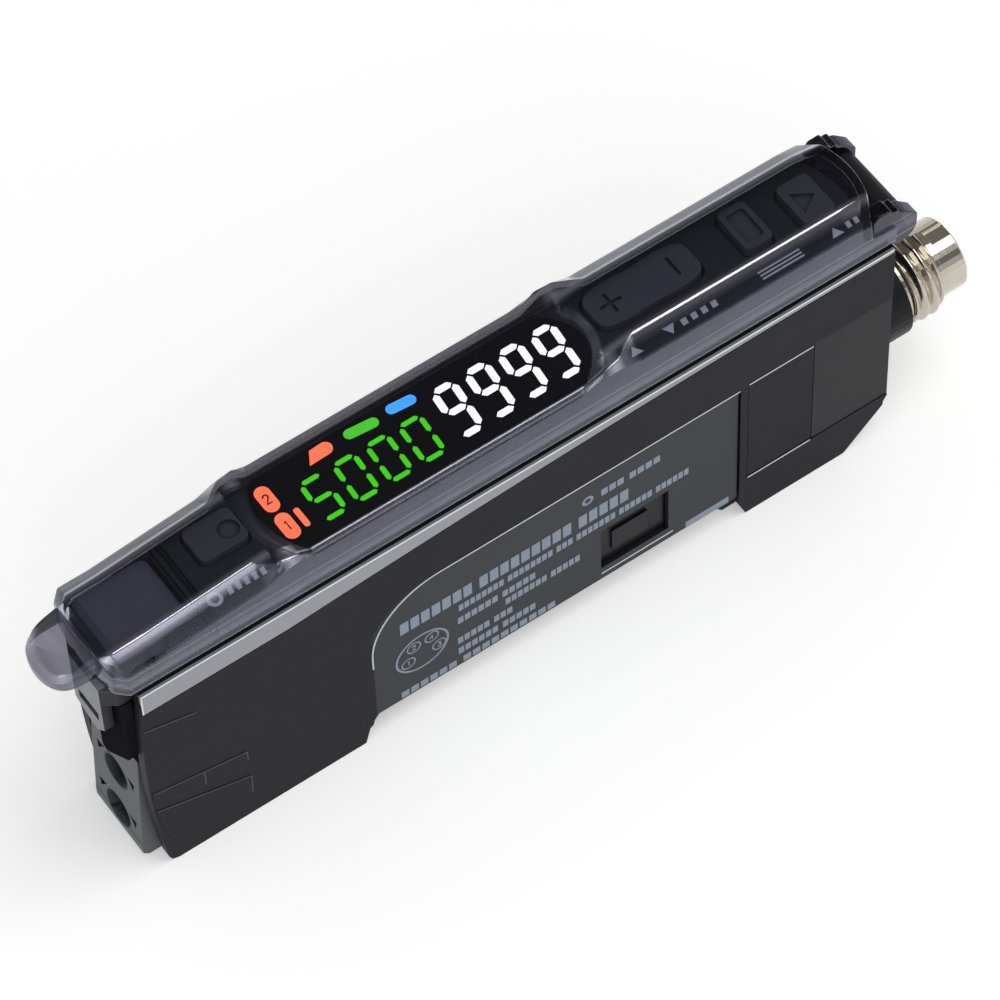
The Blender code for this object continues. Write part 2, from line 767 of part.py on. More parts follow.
def build_fibre_block(finish_material):
    """Fibre block: two funnelled holes, a chamfered chin and a slot for the clamp."""
    half = BLOCK_WIDTH / 2
    top = block_top
    chin = 1.5 * MM
    outline = [
        (block_front, sole + 0.1 * MM + chin),
        (block_front + chin * 1.3, sole + 0.1 * MM),
        (block_rear, sole + 0.1 * MM),
        (block_rear, top),
        (block_front + 0.7 * MM, top),
    ]
    block = prism("fibre_block", outline, -half, half)
    marks = []
    bores = []
    for height in fibre_heights():
        profile = [
            (block_front - 0.5 * MM, 0.0),
            (block_front - 0.5 * MM, FIBRE_MOUTH / 2 + 0.25 * MM),
            (block_front + 1.2 * MM, FIBRE_BORE / 2),
            (block_rear + WALL, FIBRE_BORE / 2),
            (block_rear + WALL, 0.0),
        ]
        bores.append(lathe("bore", profile, (0.0, height), False, 32))
        for side in (-1, 1):
            tip = (side * (FIBRE_MOUTH / 2 - 0.15 * MM), height + 1.3 * MM)
            mark = [
                tip,
                (tip[0] + side * 1.1 * MM, tip[1] - 0.1 * MM),
                (tip[0] + side * 0.9 * MM, tip[1] - 1.1 * MM),
            ]
            marks.append(prism("mark", mark, block_front - WALL, block_front + 0.6 * MM, "X"))
    cut(block, *marks)
    cut(block, *bores)
    slot = box(
        "clamp_slot",
        (clamp_x() - CLAMP_THICK / 2 - PLAY, clamp_x() + CLAMP_THICK / 2 + PLAY),
        (-half + 0.7 * MM, half - 0.7 * MM),
        (sole + 0.8 * MM, top + WALL),
    )
    seat = prism("seat", guard_outline(SEAM), block_front - WALL, guard_back() + SEAM, "X")
    cut(block, slot, seat)
    return finish(block, finish_material)


def build_clamp(finish_material):
    """Clamp plate: two holes that grip the fibres when the lever pushes it down."""
    half = BLOCK_WIDTH / 2 - 0.7 * MM - PLAY
    top = block_top - CLAMP_TRAVEL - 0.3 * MM
    clamp = box(
        "fibre_clamp",
        (clamp_x() - CLAMP_THICK / 2, clamp_x() + CLAMP_THICK / 2),
        (-half, half),
        (sole + 0.8 * MM + PLAY, top),
    )
    holes = [
        cylinder(
            "hole",
            (0.0, height - CLAMP_TRAVEL),
            FIBRE_BORE / 2,
            clamp_x() - CLAMP_THICK,
            clamp_x() + CLAMP_THICK,
            "X",
            24,
        )
        for height in fibre_heights()
    ]
    cut(clamp, *holes)
    return finish(clamp, finish_material)


def guard_back():
    return block_front + GUARD_PROUD * 4


def guard_outline(grow):
    """The guard from the front: it hangs over the block's near upper corner, round below."""
    near = lid_inside + SEAM - grow
    low = block_top - GUARD_LAP
    far = GUARD_MIDDLE + grow
    turn = 0.5 * MM + grow
    high = lever_under - LEVER_HEAD_DROP - PLAY
    middle = (GUARD_MIDDLE - 0.5 * MM, low + 0.5 * MM)
    return [
        (far, high),
        *circle(middle, turn, 7, 0.0, -math.radians(130)),
        (near, block_top + 1.9 * MM - grow),
        (near, high),
    ]


def build_front_guard(finish_material):
    """Dark guard behind the lever arm, with a shelf on the block that it stands on."""
    guard = prism("front_guard", guard_outline(0.0), block_front - GUARD_PROUD, guard_back(), "X")
    low = block_top + SEAM
    shelf = box(
        "shelf",
        (guard_back() - 0.1 * MM, block_rear),
        (lid_inside + SEAM, inner_far - SEAM),
        (low, low + 0.7 * MM),
    )
    window = box(
        "window",
        (clamp_x() - CLAMP_THICK, clamp_x() + CLAMP_THICK),
        (-BLOCK_WIDTH / 2 + 0.5 * MM, BLOCK_WIDTH / 2 - 0.5 * MM),
        (low - WALL, low + WALL),
    )
    join(guard, shelf)
    cut(guard, window)
    return finish(guard, finish_material)


def lever_top(along):
    """Height of the thumb pad, parallel to the cover above it."""
    slope = (COVER_HUMP - COVER_FRONT_TOP) / (9.0 * MM)
    start = case_front + 2.45 * MM
    height = SIDE_HEIGHT + COVER_FRONT_TOP + slope * (along - start)
    return height - COVER_WALL - 0.3 * MM


def lever_head():
    """The lever below the cover, from above: as wide as the case, with the corners off."""
    half = LEVER_HEAD / 2
    low = LEVER_ARM_Y - LEVER_ARM / 2
    high = LEVER_ARM_Y + LEVER_ARM / 2
    back = pad_front() + LEVER_THICK
    shoulder = lever_front + LEVER_REACH * 0.9
    return [
        (back, half),
        (shoulder, half),
        (lever_front, high),
        (lever_front, low),
        (shoulder, -half),
        (back, -half),
    ]


def pad_front():
    return cover_front + COVER_WALL + COVER_ROOM


def build_lever(finish_material):
    """Lock lever: thumb pad, pivot barrel, a head below the cover and an arm in front."""
    front = pad_front()
    barrel_top = lever_z + LEVER_BARREL
    half_pad = LEVER_PAD / 2
    pad_outline = [
        (front, lever_under),
        (front, lever_top(front) - 0.4 * MM),
        (front + 0.5 * MM, min(lever_top(front + 0.5 * MM), barrel_top)),
        (lever_x, barrel_top),
    ]
    pad_outline += circle((lever_x, lever_z), LEVER_BARREL, 12, math.pi / 2, -math.pi)[1:]
    pad_outline += [
        (lever_x - LEVER_BARREL, lever_z - LEVER_BARREL),
        (front + LEVER_THICK + 0.6 * MM, lever_under + 0.5 * LEVER_BARREL),
        (front + LEVER_THICK, lever_under),
    ]
    lever = prism("lock_lever", pad_outline, -half_pad, half_pad)
    head_low = lever_under - LEVER_HEAD_DROP
    head = prism("head", lever_head(), head_low, lever_under + 0.1 * MM, "Z")
    room = box(
        "room",
        (lever_front + 2 * LEVER_THICK, front + 2 * LEVER_THICK),
        (-half_pad, half_pad),
        (head_low - WALL, lever_under - LEVER_THICK),
    )
    cut(head, room)
    low = lever_under - LEVER_ARM_DROP
    near = LEVER_ARM_Y - LEVER_ARM / 2
    far = LEVER_ARM_Y + LEVER_ARM / 2
    arm_outline = [
        (far, head_low + 0.1 * MM),
        (far, low + 1.0 * MM),
        (LEVER_ARM_Y + 0.02 * LEVER_ARM, low + 0.2 * MM),
        (LEVER_ARM_Y - 0.2 * LEVER_ARM, low),
        (near, low + 1.4 * MM),
        (near, head_low + 0.1 * MM),
    ]
    arm = prism("arm", arm_outline, lever_front, lever_front + LEVER_THICK, "X")
    join(lever, head, arm)
    slot_low = low + 1.9 * MM
    slot = box(
        "slot",
        (lever_front - WALL, lever_front + 0.6 * LEVER_THICK),
        (near + 0.7 * MM, far - 0.7 * MM),
        (slot_low, slot_low + LEVER_SLOT),
    )
    bore = cylinder(
        "bore", (lever_x, lever_z), LEVER_PIN / 2 + PIN_PLAY, -half_width, half_width, "Y", 24
    )
    cut(lever, slot, bore)
    finish(lever, finish_material)
    set_origin(lever, (lever_x, 0.0, lever_z))
    return lever


def build_lever_carrier(finish_material):
    """Carrier with two cheeks for the lever's pin, behind the thumb pad."""
    cheek_inside = LEVER_PAD / 2 + PLAY
    cheek_outside = BEZEL_WIDTH / 2
    rear = bezel_front - SEAM
    barrel_rear = lever_x + LEVER_BARREL + PLAY
    low = bezel_bottom
    base = box(
        "lever_carrier",
        (barrel_rear, rear),
        (-inner_far + SEAM, inner_far - SEAM),
        (low, bezel_top - CARRIER_SINK),
    )
    front = lever_x - LEVER_BARREL
    cheeks = []
    for side in (-1, 1):
        span = sorted((side * cheek_inside, side * (cheek_outside - SEAM)))
        rise = (SIDE_HEIGHT + SEAM, lever_z + CHEEK_RISE)
        cheeks.append(box("cheek", (front, rear - 0.2 * MM), span, rise))
    join(base, *cheeks)
    bore = cylinder(
        "bore", (lever_x, lever_z), LEVER_PIN / 2 + SEAM, -half_width, half_width, "Y", 24
    )
    depth = (bezel_top - CARRIER_SINK - 0.2 * MM, bezel_top)
    grooves = [
        box("groove", (spot, spot + 0.25 * MM), (-half_width, half_width), depth)
        for spot in np.linspace(barrel_rear + 0.1 * MM, rear - 0.4 * MM, 2)
    ]
    cut(base, bore, *grooves)
    return finish(base, finish_material)


def build_lever_pin(finish_material):
    half = BEZEL_WIDTH / 2 - SEAM
    pin = cylinder("lever_pin", (lever_x, lever_z), LEVER_PIN / 2, -half, half, "Y", 24)
    return finish(pin, finish_material)


# Inside

def build_optics(holder_material, lens_material, die_material):
    """Holder behind the fibre block with the emitter and the receiver, each a domed can."""
    start = block_rear + SEAM
    length = HOLDER_LENGTH
    half = BLOCK_WIDTH / 2
    low = sole + WALL + 0.2 * MM
    high = fibre_heights()[1] + CAN_RADIUS + 1.1 * MM
    rear = board_near() - 0.3 * MM
    holder = box("optics_holder", (start, start + length), (-half, rear), (low, high))
    can = CAN_RADIUS
    cutters = []
    for height in fibre_heights():
        spot = (0.0, height)
        seat = (start + 0.8 * MM, start + 2 * length)
        sight = (start - WALL, start + length)
        cutters.append(cylinder("seat", spot, can + SEAM, *seat, "X", 24))
        cutters.append(cylinder("sight", spot, FIBRE_BORE / 2, *sight, "X", 24))
    cut(holder, *cutters)
    finish(holder, holder_material)
    for name, height, look in (
        ("emitter_led", fibre_heights()[0], lens_material),
        ("receiver_photodiode", fibre_heights()[1], die_material),
    ):
        back = start + length + 0.6 * MM
        profile = [
            (start + 0.3 * MM, 0.0),
            (start + 0.4 * MM, 0.5 * MM),
            (start + 0.9 * MM, 1.0 * MM),
            (start + 0.9 * MM, can),
            (back - 0.5 * MM, can),
            (back - 0.5 * MM, can + 0.2 * MM),
            (back, can + 0.2 * MM),
            (back, 0.0),
        ]
        finish(lathe(name, profile, (0.0, height), False, 20), look)


def board_near():
    return board_far() - BOARD_THICK


def build_main_board(finish_material):
    """Upright main board, screwed to nothing: it sits on the case's posts."""
    board = box(
        "main_board",
        (block_rear + HOLDER_LENGTH + 1.0 * MM, housing_front - 0.5 * MM),
        (board_near(), board_far()),
        (WALL + 0.6 * MM, board_bottom - 0.6 * MM),
    )
    corner = box(
        "corner",
        (housing_front - 3.0 * MM, housing_front),
        (-half_width, half_width),
        (0.0, HOUSING_FLOOR + 0.6 * MM),
    )
    cut(board, corner)
    return finish(board, finish_material)


def on_board(name, x, z, size, thick, finish_material):
    """A component on the near face of the main board."""
    near = board_near() - SEAM
    part = box(
        name,
        (x - size[0] / 2, x + size[0] / 2),
        (near - thick, near),
        (z - size[1] / 2, z + size[1] / 2),
    )
    bevel = part.modifiers.new("edges", "BEVEL")
    bevel.width = 0.12 * MM
    bevel.segments = 1
    return finish(part, finish_material)


def build_components(chip_material, can_material, drum_material):
    middle = (WALL + board_bottom) / 2
    front = block_rear + HOLDER_LENGTH + SHIELD_SIZE[0] * 0.9
    rear = housing_front - DRUM_RADIUS - WALL
    processor_z = board_bottom - LINK_SIZE[2] - CHIP_GAP - PROCESSOR_SIZE[1] / 2
    on_board("processor_chip", 0.0, processor_z, PROCESSOR_SIZE, CHIP_THICK, chip_material)
    on_board("receiver_shield", front, middle, SHIELD_SIZE, SHIELD_THICK, can_material)
    between = (front + SHIELD_SIZE[0] / 2 - PROCESSOR_SIZE[0] / 2) / 2
    on_board("memory_chip", between, middle, MEMORY_SIZE, CHIP_THICK * 0.9, chip_material)
    gap = (PROCESSOR_SIZE[0] / 2 + rear - DRUM_RADIUS) / 2
    on_board("supply_chip", gap, middle, SUPPLY_SIZE, CHIP_THICK, chip_material)
    near = board_near() - SEAM
    spot = (rear - WALL, middle)
    drum = cylinder("supply_inductor", spot, DRUM_RADIUS, near - DRUM_LENGTH, near, "Y", 32)
    finish(drum, drum_material)


def build_port_diodes(finish_material):
    """Infra-red emitter and receiver behind the two side windows, on one small bracket."""
    inside = -half_width + LABEL_SINK + PORT_THICK + 0.45 * MM
    far = board_near() - SEAM
    half = 1.5 * MM
    body = box(
        "port_diode",
        (PORT_X - half, PORT_X + half),
        (inside + 0.8 * MM, far),
        (PORT_Z - half, PORT_Z + half),
    )
    dome = cylinder("dome", (PORT_X, PORT_Z), 1.2 * MM, inside, inside + 1.2 * MM, "Y", 24)
    join(body, dome)
    return finish(body, finish_material)


# Display and keys

def window_outline(grow):
    """The display window from above: straight sides and ends that are arcs."""
    half = WINDOW_WIDTH / 2 + grow
    share = (WINDOW_WIDTH / COVER_WIDTH) ** 2
    steps = np.linspace(-1.0, 1.0, 15)
    front = [(window_low - grow + CRESCENT_FRONT * share * step**2, -step * half) for step in steps]
    rear = [(window_high + grow - CRESCENT_REAR * share * step**2, step * half) for step in steps]
    return front + rear


def key_specs():
    """Name, middle, size, corner radius and top of each push key."""
    top = bezel_top + KEY_RISE
    return (
        ("tune_key", (tune_x, KEY_Y + 0.5 * MM), TUNE_SIZE, 0.6 * MM, bezel_top + TUNE_RISE),
        ("mode_key", (mode_x, KEY_Y + 0.15 * MM), MODE_SIZE, 0.5 * MM, top),
        ("output_key", (output_x, KEY_Y - 0.55 * MM), OUTPUT_SIZE, 0.5 * MM, top),
    )


def rocker_outline(grow):
    """The rocker from above: two lobes with a shallow waist."""
    length = ROCKER_SIZE[0] / 2 + grow
    half = ROCKER_SIZE[1] / 2 + grow
    centre = (rocker_x, ROCKER_Y)
    points = []
    for turn in np.linspace(0.0, math.tau, 48, endpoint=False):
        u = math.copysign(abs(math.cos(turn)) ** 0.42, math.cos(turn))
        v = math.copysign(abs(math.sin(turn)) ** 0.42, math.sin(turn))
        waist = 1.0 - 0.07 * math.exp(-((u / 0.25) ** 2))
        points.append((centre[0] + length * u, centre[1] + half * v * waist))
    return points


def build_bezel(finish_material):
    """Black key panel: a cap with holes for the keys and a ledge that carries the window."""
    half = BEZEL_WIDTH / 2
    rows = np.linspace(-1.0, 1.0, 13)
    outline = [(bezel_front, half), (bezel_front, -half)]
    outline += [(rear_arc(step * half) - COVER_WALL - PLAY, step * half) for step in rows]
    cap = prism("top_bezel", outline, SIDE_HEIGHT + SEAM, bezel_top, "Z")
    edge = 0.25 * MM
    slopes = [
        prism(
            "slope",
            [
                (side * (half - edge), bezel_top + edge),
                (side * (half + edge), bezel_top + edge),
                (side * (half + edge), bezel_top - 2 * edge),
                (side * half, bezel_top - edge),
                (side * (half - edge), bezel_top),
            ],
            case_front,
            case_rear,
            "X",
        )
        for side in (-1, 1)
    ]
    cut(cap, *slopes)
    spigot = box(
        "spigot",
        (bezel_front, bezel_rear),
        (-inner_far + SEAM, inner_far - SEAM),
        (bezel_bottom, SIDE_HEIGHT + WALL),
    )
    join(cap, spigot)
    hollow = box(
        "hollow",
        (bezel_front + BEZEL_WALL, bezel_rear - BEZEL_WALL),
        (-half + BEZEL_WALL, half - BEZEL_WALL),
        (bezel_bottom - WALL, bezel_ceiling),
    )
    cut(cap, hollow)
    frame = prism("frame", window_outline(SEAM), bezel_top - WINDOW_SINK, bezel_top + WALL, "Z")
    through = prism("through", window_outline(-0.6 * MM), bezel_bottom, bezel_top + WALL, "Z")
    rocker = prism("rocker_hole", rocker_outline(PLAY), bezel_bottom, bezel_top + WALL, "Z")
    holes = [
        prism(
            "key_hole",
            rounded_rectangle(middle, (size[0] + 2 * PLAY, size[1] + 2 * PLAY), radius + PLAY),
            bezel_bottom,
            bezel_top + WALL,
            "Z",
        )
        for _, middle, size, radius, _ in key_specs()
    ]
    cut(cap, frame, through, rocker, *holes)
    return finish(cap, finish_material)


def build_hinge_block(finish_material):
    """Bearing for the cover's hinge pin, standing behind the bezel on the case's rear wall."""
    half = lug_inside() - PLAY
    radius = LUG_RADIUS - 0.2 * MM
    low = bezel_bottom
    start = bezel_rear + SEAM
    inside = case_rear - WALL - SEAM
    seat = SIDE_HEIGHT + SEAM
    outline = [(start, low), (inside, low), (inside, seat), (case_rear, seat)]
    outline += circle((hinge_x, hinge_z), radius, 16, -math.radians(110), math.radians(240))
    outline += [(start, hinge_z + 0.6 * MM)]
    block = prism("hinge_block", outline, -half, half)
    bore = cylinder(
        "bore", (hinge_x, hinge_z), HINGE_PIN / 2 + SEAM, -half_width, half_width, "Y", 24
    )
    cut(block, bore)
    return finish(block, finish_material)


def rear_arc(y):
    """X of the cover's rear wall at a distance from the middle."""
    return cover_end + REAR_BOW * (1.0 - (y / (COVER_WIDTH / 2)) ** 2)


def lug_inside():
    return COVER_WIDTH / 2 - COVER_WALL - LUG_THICK


def build_window(finish_material):
    low = bezel_top - WINDOW_SINK + SEAM
    window = prism("display_window", window_outline(0.0), low, low + WINDOW_THICK, "Z")
    bevel = window.modifiers.new("edges", "BEVEL")
    bevel.width = 0.1 * MM
    bevel.segments = 2
    bevel.limit_method = "ANGLE"
    bevel.angle_limit = math.radians(50)
    return finish(window, finish_material)


def build_displays(finish_material):
    """Two four-digit modules and a lamp block on the key board, under the window."""
    half = WINDOW_WIDTH / 2 - 0.6 * MM - SEAM - 0.1 * MM
    low = board_top + SEAM
    high = bezel_top - WINDOW_SINK - 0.3 * MM
    start = window_low + 2.2 * MM
    end = window_high - 0.8 * CRESCENT_REAR
    digit = (end - start - LAMP_LENGTH) / 2
    edges = (start, start + LAMP_LENGTH, start + LAMP_LENGTH + digit, end)
    names = ("lamp_block", "green_display", "white_display")
    for name, first, second in zip(names, edges, edges[1:]):
        module = box(name, (first, second - 0.2 * MM), (-half, half), (low, high))
        finish(module, finish_material)


def build_key(name, middle, size, radius, top):
    """Push key: cap, retaining flange and a foot above its switch."""
    low = flange_top - FLANGE_THICK
    cap = prism(name, rounded_rectangle(middle, size, radius), low + FLANGE_THICK / 2, top, "Z")
    flange_size = (size[0] + 2 * (KEY_FLANGE + PLAY), size[1] - 2 * PLAY)
    flange = prism("flange", rounded_rectangle(middle, flange_size, radius), low, flange_top, "Z")
    foot = cylinder("foot", middle, 0.8 * MM, key_foot, low + FLANGE_THICK / 2, "Z", 24)
    return join(cap, flange, foot)


def key_mark(name, middle, size):
    """What is sunk into the key's top: a dimple, a tray or a triangle."""
    if name == "tune_key":
        spot = (middle[0] + size[0] / 4, middle[1] - 0.2 * MM)
        return circle(spot, TUNE_DIMPLE, 32)
    if name == "mode_key":
        return rounded_rectangle(middle, (size[0] - 0.9 * MM, size[1] - 1.2 * MM), 0.3 * MM)
    corner = 0.9 * MM
    return [
        (middle[0] + corner, middle[1]),
        (middle[0] - corner, middle[1] + corner * 1.3),
        (middle[0] - corner, middle[1] - corner * 1.3),
    ]


def build_keys(finish_material):
    for name, middle, size, radius, top in key_specs():
        key = build_key(name, middle, size, radius, top)
        cut(key, prism("mark", key_mark(name, middle, size), top - ENGRAVING, top + WALL, "Z"))
        finish(key, finish_material)
        set_origin(key, (*middle, bezel_top))


def build_rocker(finish_material):
    """Plus and minus rocker: crowned top, hub on its axle and engraved signs."""
    top = bezel_top + ROCKER_RISE
    centre = (rocker_x, ROCKER_Y)
    low = flange_top - FLANGE_THICK
    rocker = prism("rocker_key", rocker_outline(0.0), low, top, "Z")
    foot_x = ROCKER_SIZE[0] * 0.32
    feet = [
        cylinder(
            "foot", (centre[0] + side * foot_x, centre[1]), 0.7 * MM, key_foot, low + WALL / 2, "Z", 24
        )
        for side in (-1, 1)
    ]
    join(rocker, *feet)
    height = (top - ENGRAVING, top + WALL)
    arm = 1.0 * MM
    thick = 0.16 * MM
    plus_x = centre[0] - foot_x * 0.95
    minus_x = centre[0] + foot_x * 0.95
    signs = [
        box("plus", (plus_x - arm, plus_x + arm), (centre[1] - thick, centre[1] + thick), height),
        box("plus", (plus_x - thick, plus_x + thick), (centre[1] - arm, centre[1] + arm), height),
        box("minus", (minus_x - thick, minus_x + thick), (centre[1] - arm, centre[1] + arm), height),
        cylinder("bore", (centre[0], rocker_z), 0.4 * MM + PIN_PLAY, -half_width, half_width, "Y", 20),
    ]
    cut(rocker, *signs)
    finish(rocker, finish_material)
    set_origin(rocker, (centre[0], centre[1], rocker_z))


def build_rocker_axle(finish_material):
    """Axle of the rocker, held at both ends in the bezel's side walls."""
    half = BEZEL_WIDTH / 2 - BEZEL_WALL - SEAM
    axle = cylinder("rocker_axle", (rocker_x, rocker_z), 0.4 * MM, -half, half, "Y", 20)
    return finish(axle, finish_material)


def switch_spots():
    keys = key_specs()
    reach = ROCKER_SIZE[0] * 0.32
    return (
        ("tune_switch", keys[0][1]),
        ("plus_switch", (rocker_x - reach, ROCKER_Y)),
        ("minus_switch", (rocker_x + reach, ROCKER_Y)),
        ("mode_switch", keys[1][1]),
        ("output_switch", keys[2][1]),
    )


def build_switches(finish_material):
    half = SWITCH_SIDE / 2
    for name, (x, y) in switch_spots():
        low = board_top + SEAM
        high = board_top + SWITCH_BODY
        body = box(name, (x - half, x + half), (y - half, y + half), (low, high))
        button = cylinder("button", (x, y), 0.55 * MM, low + SEAM, high + SWITCH_BUTTON, "Z", 20)
        join(body, button)
        finish(body, finish_material)


def build_key_board(finish_material):
    half = BEZEL_WIDTH / 2 - BEZEL_WALL - SEAM
    board = box(
        "key_board",
        (bezel_front + BEZEL_WALL + SEAM, bezel_rear - BEZEL_WALL - SEAM),
        (-half, half),
        (board_bottom, board_top),
    )
    return finish(board, finish_material)


def build_board_link(finish_material):
    """Header between the main board and the key board."""
    near = board_near() - SEAM
    link = box(
        "board_link",
        (-LINK_SIZE[0] / 2, LINK_SIZE[0] / 2),
        (near - LINK_SIZE[1], near),
        (board_bottom - LINK_SIZE[2], board_bottom - SEAM),
    )
    return finish(link, finish_material)


# Cover

def cover_stations():
    """From front to rear: x, half width, half width of the top, top, shoulder, bow, lean.

    The bow moves the middle of a section forward. The lean, in wall thicknesses, moves the
    inner section to the rear, so that walls across the cover keep their thickness.
    """
    wide = COVER_WIDTH / 2
    front_top = SIDE_HEIGHT + COVER_FRONT_TOP
    hump = SIDE_HEIGHT + COVER_HUMP
    flat = SIDE_HEIGHT + COVER_FLAT
    rear = SIDE_HEIGHT + COVER_REAR
    slope = COVER_CHAMFER
    tip = COVER_RIDGE - 0.5 * MM
    edge = front_top - 0.15 * MM
    flare = wide - 0.25 * MM
    shelf = hinge_z + LUG_RADIUS + 0.1 * MM
    near = window_low + CRESCENT_FRONT - 0.2 * MM
    far = window_high - CRESCENT_REAR - 0.2 * MM
    step = CRESCENT_STEP
    ear = CRESCENT_EAR
    fade = CRESCENT_FADE
    bow = CRESCENT_FRONT
    back = CRESCENT_REAR
    rise = window_high + 0.3 * MM - bow
    end = cover_end
    return [
        (cover_front, wide - 0.9 * MM, tip, skirt, skirt, 0.5 * MM, 1.0),
        (cover_front, wide - 0.9 * MM, tip, front_top - 0.5 * MM, front_top - 1.7 * MM, 0.5 * MM, 1.0),
        (cover_front + 0.9 * MM, wide, COVER_RIDGE, edge, front_top - slope, 0.4 * MM, 0.5),
        (case_front + 2.45 * MM, wide, COVER_RIDGE, front_top, front_top - slope, 0.0, 0.0),
        (near - step - ear - fade, wide, COVER_RIDGE, hump, hump - slope, 0.0, 0.0),
        (near - step - ear, wide, flare - 0.2 * MM, hump, hump - 0.7 * MM, bow * 0.5, -0.3),
        (near - step, wide, flare, hump - 0.05 * MM, hump - 0.6 * MM, bow, -0.6),
        (near, wide, flare - 0.3 * MM, flat, flat - 0.3 * MM, bow, -0.6),
        (far, wide, flare - 0.3 * MM, flat, flat - 0.3 * MM, -back, 0.6),
        (rise, wide, flare, hump + 0.2 * MM, hump - 0.5 * MM, -bow, 0.6),
        (rise + ear, wide, flare - 0.2 * MM, hump + 0.4 * MM, hump - 0.4 * MM, -bow * 0.6, 0.3),
        (rise + ear + fade, wide, COVER_RIDGE, rear, rear - slope, -0.6 * MM, 0.0),
        (end - 2.0 * MM, wide, COVER_RIDGE, rear, rear - slope, -0.4 * MM, 0.0),
        (end, wide, COVER_RIDGE - 0.2 * MM, rear - 0.25 * MM, rear - slope - 0.2 * MM, -REAR_BOW, -1.0),
        (end + 0.2 * MM, wide, COVER_RIDGE, shelf, shelf - 0.1 * MM, -REAR_BOW, -1.0),
        (case_rear, wide, COVER_RIDGE, shelf - 0.1 * MM, shelf - 0.3 * MM, 0.0, -1.0),
        (case_rear, wide, COVER_RIDGE, skirt, skirt, 0.0, -1.0),
    ]


def section(station, inset):
    """One cross-section of the cover as a row of points from the near side to the far side."""
    along, wide, ridge, top, shoulder, bow, lean = station
    along += lean * inset
    wide -= inset
    ridge -= inset * 0.6
    top -= inset
    shoulder -= inset * 1.1
    middle = ((wide + ridge) / 2, (shoulder + top) / 2)
    spots = [(-wide, skirt), (-wide, shoulder), (-middle[0], middle[1])]
    spots += [(ridge * step, top) for step in np.linspace(-1.0, 1.0, 9)]
    spots += [middle, (wide, shoulder), (wide, skirt)]
    return [(along - bow * (1.0 - (y / wide) ** 2), y, max(z, skirt)) for y, z in spots]


def build_cover(finish_material):
    """Clear cover: a lofted shell open below, with a thumb nose in front and hinge lugs behind."""
    stations = cover_stations()
    maker = bmesh.new()
    outer = [[maker.verts.new(spot) for spot in section(row, 0.0)] for row in stations]
    inner = [[maker.verts.new(spot) for spot in section(row, COVER_WALL)] for row in stations]
    across = len(outer[0])
    for grid in (outer, inner):
        for first, second in zip(grid, grid[1:]):
            for index in range(across - 1):
                maker.faces.new((first[index], first[index + 1], second[index + 1], second[index]))
    for index in range(across - 1):
        for row in (0, -1):
            maker.faces.new(
                (outer[row][index], outer[row][index + 1], inner[row][index + 1], inner[row][index])
            )
    for row in range(len(stations) - 1):
        for index in (0, -1):
            maker.faces.new(
                (outer[row][index], outer[row + 1][index], inner[row + 1][index], inner[row][index])
            )
    bmesh.ops.remove_doubles(maker, verts=maker.verts, dist=0.0005 * MM)
    bmesh.ops.dissolve_degenerate(maker, edges=maker.edges, dist=0.0005 * MM)
    cover = to_object("protective_cover", maker)
    join(cover, build_nose(), *build_lugs())
    inside = lug_inside()
    notch = box(
        "notch",
        (hinge_x - LUG_RADIUS - PLAY, hinge_x + 3 * LUG_RADIUS),
        (-inside, inside),
        (skirt - WALL, hinge_z + LUG_RADIUS + WALL),
    )
    bore = cylinder(
        "bore", (hinge_x, hinge_z), HINGE_PIN / 2 + PIN_PLAY, -half_width, half_width, "Y", 24
    )
    cut(cover, notch, bore)
    finish(cover, finish_material)
    set_origin(cover, (hinge_x, 0.0, hinge_z))


def build_nose():
    """Thumb tab: a rounded wedge ahead of the cover's front wall."""
    half = NOSE_WIDTH / 2
    root = cover_front - 0.2 * MM
    tip = root - NOSE_LENGTH
    low = skirt + NOSE_RISE
    turns = np.linspace(-math.pi / 2, math.pi / 2, 17)
    plan = [
        (root - NOSE_LENGTH * math.cos(turn) ** 0.8, half * math.sin(turn)) for turn in turns
    ]
    plan = [(root + 0.3 * MM, -half)] + plan + [(root + 0.3 * MM, half)]
    nose = prism("nose", plan, low, low + 2 * NOSE_ROOT, "Z")
    above = [
        (tip - WALL, low + NOSE_TIP),
        (tip + 0.6 * MM, low + NOSE_TIP),
        (root + WALL, low + NOSE_ROOT),
        (root + WALL, low + 3 * NOSE_ROOT),
        (tip - WALL, low + 3 * NOSE_ROOT),
    ]
    return cut(nose, prism("above", above, -half_width, half_width))


def build_lugs():
    """Two hinge lugs: a round eye on the axis below a stepped fin."""
    inside = lug_inside()
    outside = COVER_WIDTH / 2 - COVER_WALL / 2
    top = hinge_z + LUG_HEIGHT
    back = hinge_x - LUG_FIN
    outline = circle((hinge_x, hinge_z), LUG_RADIUS, 20, math.pi, math.pi)
    outline += [
        (hinge_x + LUG_RADIUS, hinge_z + LUG_RADIUS * 0.7),
        (hinge_x + 0.2 * MM, top - 1.2 * MM),
        (hinge_x - 0.4 * MM, top - 0.9 * MM),
        (hinge_x - 0.5 * MM, top - 0.45 * MM),
        (hinge_x - 1.1 * MM, top - 0.4 * MM),
        (hinge_x - 1.3 * MM, top),
        (back + 0.5 * MM, top - 0.05 * MM),
        (back, top - 0.6 * MM),
        (back, hinge_z),
    ]
    lugs = []
    for side in (-1, 1):
        span = sorted((side * inside, side * outside))
        lugs.append(prism("lug", outline, span[0], span[1]))
    return lugs


def build_hinge_pin(finish_material):
    half = COVER_WIDTH / 2 - COVER_WALL
    pin = cylinder("hinge_pin", (hinge_x, hinge_z), HINGE_PIN / 2, -half, half, "Y", 24)
    return finish(pin, finish_material)


